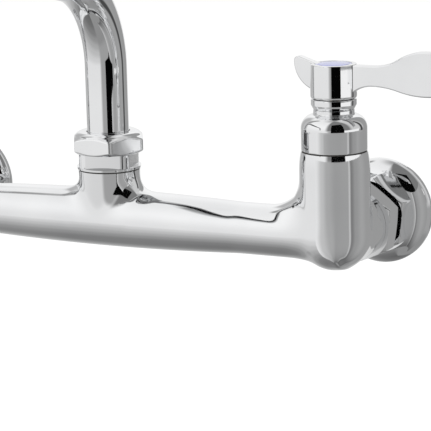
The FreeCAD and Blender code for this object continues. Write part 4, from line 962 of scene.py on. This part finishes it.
# Brightness round the faucet as the chrome mirrors it, in greys of 0 to 255. Directions
# are in degrees: azimuth from the front (0) to the right (90), and height above level.
MIRROR_SHARE = 0.9      # how much of the light the chrome gives back
GREY_FOOT = 0.055       # the curve from a grey to an amount of light
GREY_POWER = 2.4
SKY_RAMP = (            # height, grey
    (-90, 98), (-75, 108), (-60, 125), (-50, 145), (-40, 167), (-30, 187),
    (-20, 206), (-12, 224), (30, 242), (65, 232), (90, 160),
)
SKY_AREAS = {           # azimuth from, to, height from, to, softness, grey
    "left_seam": (-104, -88, -40, 60, 4, 150),
    "left_rear": (-134, -104, -40, 40, 8, 178),
    "right_upper": (80, 150, 4, 75, 8, 198),
    "front_shade": (-5, 84, 3, 100, 8, 118),
    "front_low": (1, 150, -40, 3, 7, 156),
    "front_under": (1, 150, -100, -40, 9, 140),
    "right_flag": (126, 138, -30, 50, 3, 70),
    "right_rear": (143, 190, -60, 60, 6, 150),
}
AMBIENT = 0.8           # light on matt pieces
BACKGROUND = 1.0        # what the eye sees

# Cards that only the polish sees. The opening's edge is a row of (x, y, z) points. The
# cards round the right valve are given by gap, azimuth from, to, and lower edge.
OPENING_EDGE = ((175, -412, -62), (280, -319, -80), (370, -225, -190))
OPENING_TOP = 520.0
OPENING_GREY = 3
# The card round the right valve glows with painted reflection greys, and with painted shade towards its
# lower edge.
VALVE_CARD = (62, -36, 135, -170)
VALVE_CARD_TOP = 37.5
VALVE_GREYS = (         # azimuth, grey
    (-34, 226), (-15, 190), (0, 167), (25, 153), (61, 156),
    (66, 192), (72, 122), (86, 148), (110, 160), (135, 150),
)
# Painted shade on the valve card: its glow dims from the first level down to the second.
VALVE_LIGHT = -20.0     # full brightness above this level, running down to
VALVE_DARK = -170.0     # this level, where a share of it is left
VALVE_FOOT = 0.4
# The card by the hub glows near white to paint a highlight on the side of the hub.
HUB_CARD = (100, 56, 112, 34)
HUB_CARD_TOP = 54.0
HUB_HIGHLIGHT_GREY = 238
CARD_STEPS = 48

FLOOR_LEVEL = -300.0
FLOOR_HALF = 40000.0
FLOOR_COLOUR = 0.95
FLOOR_ROUGH = 0.9
FLOOR_GLOW = 0.24       # what the eye sees on top of its shading, so that it reads as white

LAMP_AT = Vector((-500, -900, 1300))
LAMP_AIM = Vector((0, -100, 0))
LAMP_SIZE = 1200.0
LAMP_POWER = 9.0


def mirrored(grey):
    """Strength that chrome shows as the given grey."""
    return ((grey / 255 + GREY_FOOT) / (1 + GREY_FOOT)) ** GREY_POWER / MIRROR_SHARE


class Sums:
    """Short calls for nodes that work out a strength of light."""

    def __init__(self, tree):
        self.tree = tree

    def add(self, kind):
        return self.tree.nodes.new(kind)

    def fill(self, socket, value):
        """Set a socket to a number, or link it to another node's output."""
        if isinstance(value, (int, float)):
            socket.default_value = value
        else:
            self.tree.links.new(value, socket)

    def maths(self, operation, first, second=0.0):
        node = self.add("ShaderNodeMath")
        node.operation = operation
        self.fill(node.inputs[0], first)
        self.fill(node.inputs[1], second)
        return node.outputs[0]

    def mix(self, share, first, second):
        node = self.add("ShaderNodeMix")
        for socket, value in zip((0, 2, 3), (share, first, second)):
            self.fill(node.inputs[socket], value)
        return node.outputs[0]

    def split(self, vector):
        """The X, Y and Z of a place or direction, by name."""
        node = self.add("ShaderNodeSeparateXYZ")
        self.fill(node.inputs[0], vector)
        return node.outputs

    def azimuth(self, parts):
        forward = self.maths("MULTIPLY", parts["Y"], -1.0)
        return self.maths("DEGREES", self.maths("ARCTAN2", parts["X"], forward))

    def passed(self, value, start, end):
        """0 before start and 1 after end, softly; the other way round if end is lower."""
        node = self.add("ShaderNodeMapRange")
        node.interpolation_type = "SMOOTHSTEP"
        self.fill(node.inputs["Value"], value)
        node.inputs["From Min"].default_value = start
        node.inputs["From Max"].default_value = end
        return node.outputs["Result"]

    def inside(self, value, low, high, soft):
        above = self.passed(value, low - soft, low + soft)
        below = self.passed(value, high + soft, high - soft)
        return self.maths("MULTIPLY", above, below)

    def stepped(self, value, stops):
        """The greys of (value, grey) stops, run softly into each other."""
        strength = mirrored(stops[0][1])
        for (low, _), (high, grey) in zip(stops, stops[1:]):
            strength = self.mix(self.passed(value, low, high), strength, mirrored(grey))
        return strength


def make_world():
    """A white room: white for the eye, even for matt pieces, with its greys in the polish."""
    world = bpy.data.worlds.new("studio")
    world.use_nodes = True
    sums = Sums(world.node_tree)
    parts = sums.split(sums.add("ShaderNodeTexCoord").outputs["Generated"])
    azimuth = sums.azimuth(parts)
    height = sums.maths("DEGREES", sums.maths("ARCSINE", parts["Z"]))
    around = sums.stepped(height, SKY_RAMP)
    for left, right, low, high, soft, grey in SKY_AREAS.values():
        across = sums.inside(azimuth, left, right, soft)
        share = sums.maths("MULTIPLY", across, sums.inside(height, low, high, soft))
        around = sums.mix(share, around, mirrored(grey))
    path = sums.add("ShaderNodeLightPath").outputs
    in_polish = sums.maths("MAXIMUM", path["Is Glossy Ray"], path["Is Transmission Ray"])
    unseen = sums.mix(in_polish, AMBIENT, around)
    background = world.node_tree.nodes["Background"]
    background.inputs["Color"].default_value = (1, 1, 1, 1)
    sums.fill(background.inputs["Strength"], sums.mix(path["Is Camera Ray"], unseen, BACKGROUND))
    bpy.context.scene.world = world


def make_floor():
    """A pale matt floor, wide enough to fill every view from above."""
    corners = [(-1, -1), (1, -1), (1, 1), (-1, 1)]
    points = [(x * FLOOR_HALF, y * FLOOR_HALF, FLOOR_LEVEL) for x, y in corners]
    floor = make_object("floor", points, [(0, 1, 2, 3)])
    material = bpy.data.materials.new("floor")
    material.use_nodes = True
    sums = Sums(material.node_tree)
    shader = material.node_tree.nodes["Principled BSDF"]
    shader.inputs["Base Color"].default_value = (FLOOR_COLOUR, FLOOR_COLOUR, FLOOR_COLOUR, 1)
    shader.inputs["Roughness"].default_value = FLOOR_ROUGH
    shader.inputs["Specular IOR Level"].default_value = 0.0
    shader.inputs["Emission Color"].default_value = (1, 1, 1, 1)
    seen = sums.add("ShaderNodeLightPath").outputs["Is Camera Ray"]
    sums.fill(shader.inputs["Emission Strength"], sums.maths("MULTIPLY", seen, FLOOR_GLOW))
    floor.data.materials.append(material)
    floor.visible_glossy = False


def make_card(name, edge, high, strength_of):
    """An upright card seen only in polish, from the (x, y, z) points of its lower edge."""
    points = list(edge) + [(x, y, high) for x, y, _ in edge]
    count = len(edge)
    faces = [(i, i + 1, count + i + 1, count + i) for i in range(count - 1)]
    card = make_object(name, points, faces)
    material = bpy.data.materials.new(name)
    material.use_nodes = True
    sums = Sums(material.node_tree)
    shader = sums.add("ShaderNodeEmission")
    sums.fill(shader.inputs["Strength"], strength_of(sums))
    sums.fill(material.node_tree.nodes["Material Output"].inputs["Surface"], shader.outputs[0])
    card.data.materials.append(material)
    card.visible_camera = False
    card.visible_diffuse = False
    card.visible_shadow = False


def round_valve(gap, left, right, low):
    """Points along an arc round the right valve, between two azimuths."""
    turn = np.radians(np.linspace(left, right, CARD_STEPS))
    return [(VALVE + gap * math.sin(a), BAR_Y - gap * math.cos(a), low) for a in turn]


def valve_strength(sums):
    """Painted reflection greys by azimuth round the right valve, with painted shade darker downwards."""
    offset = sums.add("ShaderNodeVectorMath")
    offset.operation = "SUBTRACT"
    sums.fill(offset.inputs[0], sums.add("ShaderNodeNewGeometry").outputs["Position"])
    offset.inputs[1].default_value = Vector((VALVE, BAR_Y, 0)) * MM
    parts = sums.split(offset.outputs[0])
    painted_shade = sums.mix(sums.passed(parts["Z"], VALVE_DARK * MM, VALVE_LIGHT * MM), VALVE_FOOT, 1.0)
    return sums.maths("MULTIPLY", sums.stepped(sums.azimuth(parts), VALVE_GREYS), painted_shade)


def make_cards():
    """The dark opening that the camera looks through, and cards close to the right valve."""
    make_card("opening", OPENING_EDGE, OPENING_TOP, lambda sums: mirrored(OPENING_GREY))
    make_card("valve_reflection_card", round_valve(*VALVE_CARD), VALVE_CARD_TOP, valve_strength)
    make_card("hub_highlight_card", round_valve(*HUB_CARD), HUB_CARD_TOP, lambda sums: mirrored(HUB_HIGHLIGHT_GREY))


def make_lamp():
    """A large soft lamp above and left of the camera."""
    data = bpy.data.lights.new("soft_lamp", "AREA")
    data.size = LAMP_SIZE * MM
    data.energy = LAMP_POWER
    lamp = new_object("soft_lamp", data)
    lamp.location = LAMP_AT * MM
    lamp.rotation_euler = (LAMP_AIM - LAMP_AT).to_track_quat("-Z", "Y").to_euler()
    lamp.visible_glossy = False


make_faucet()
make_camera()
make_world()
make_floor()
make_cards()
make_lamp()
bpy.context.scene.view_settings.view_transform = "Standard"
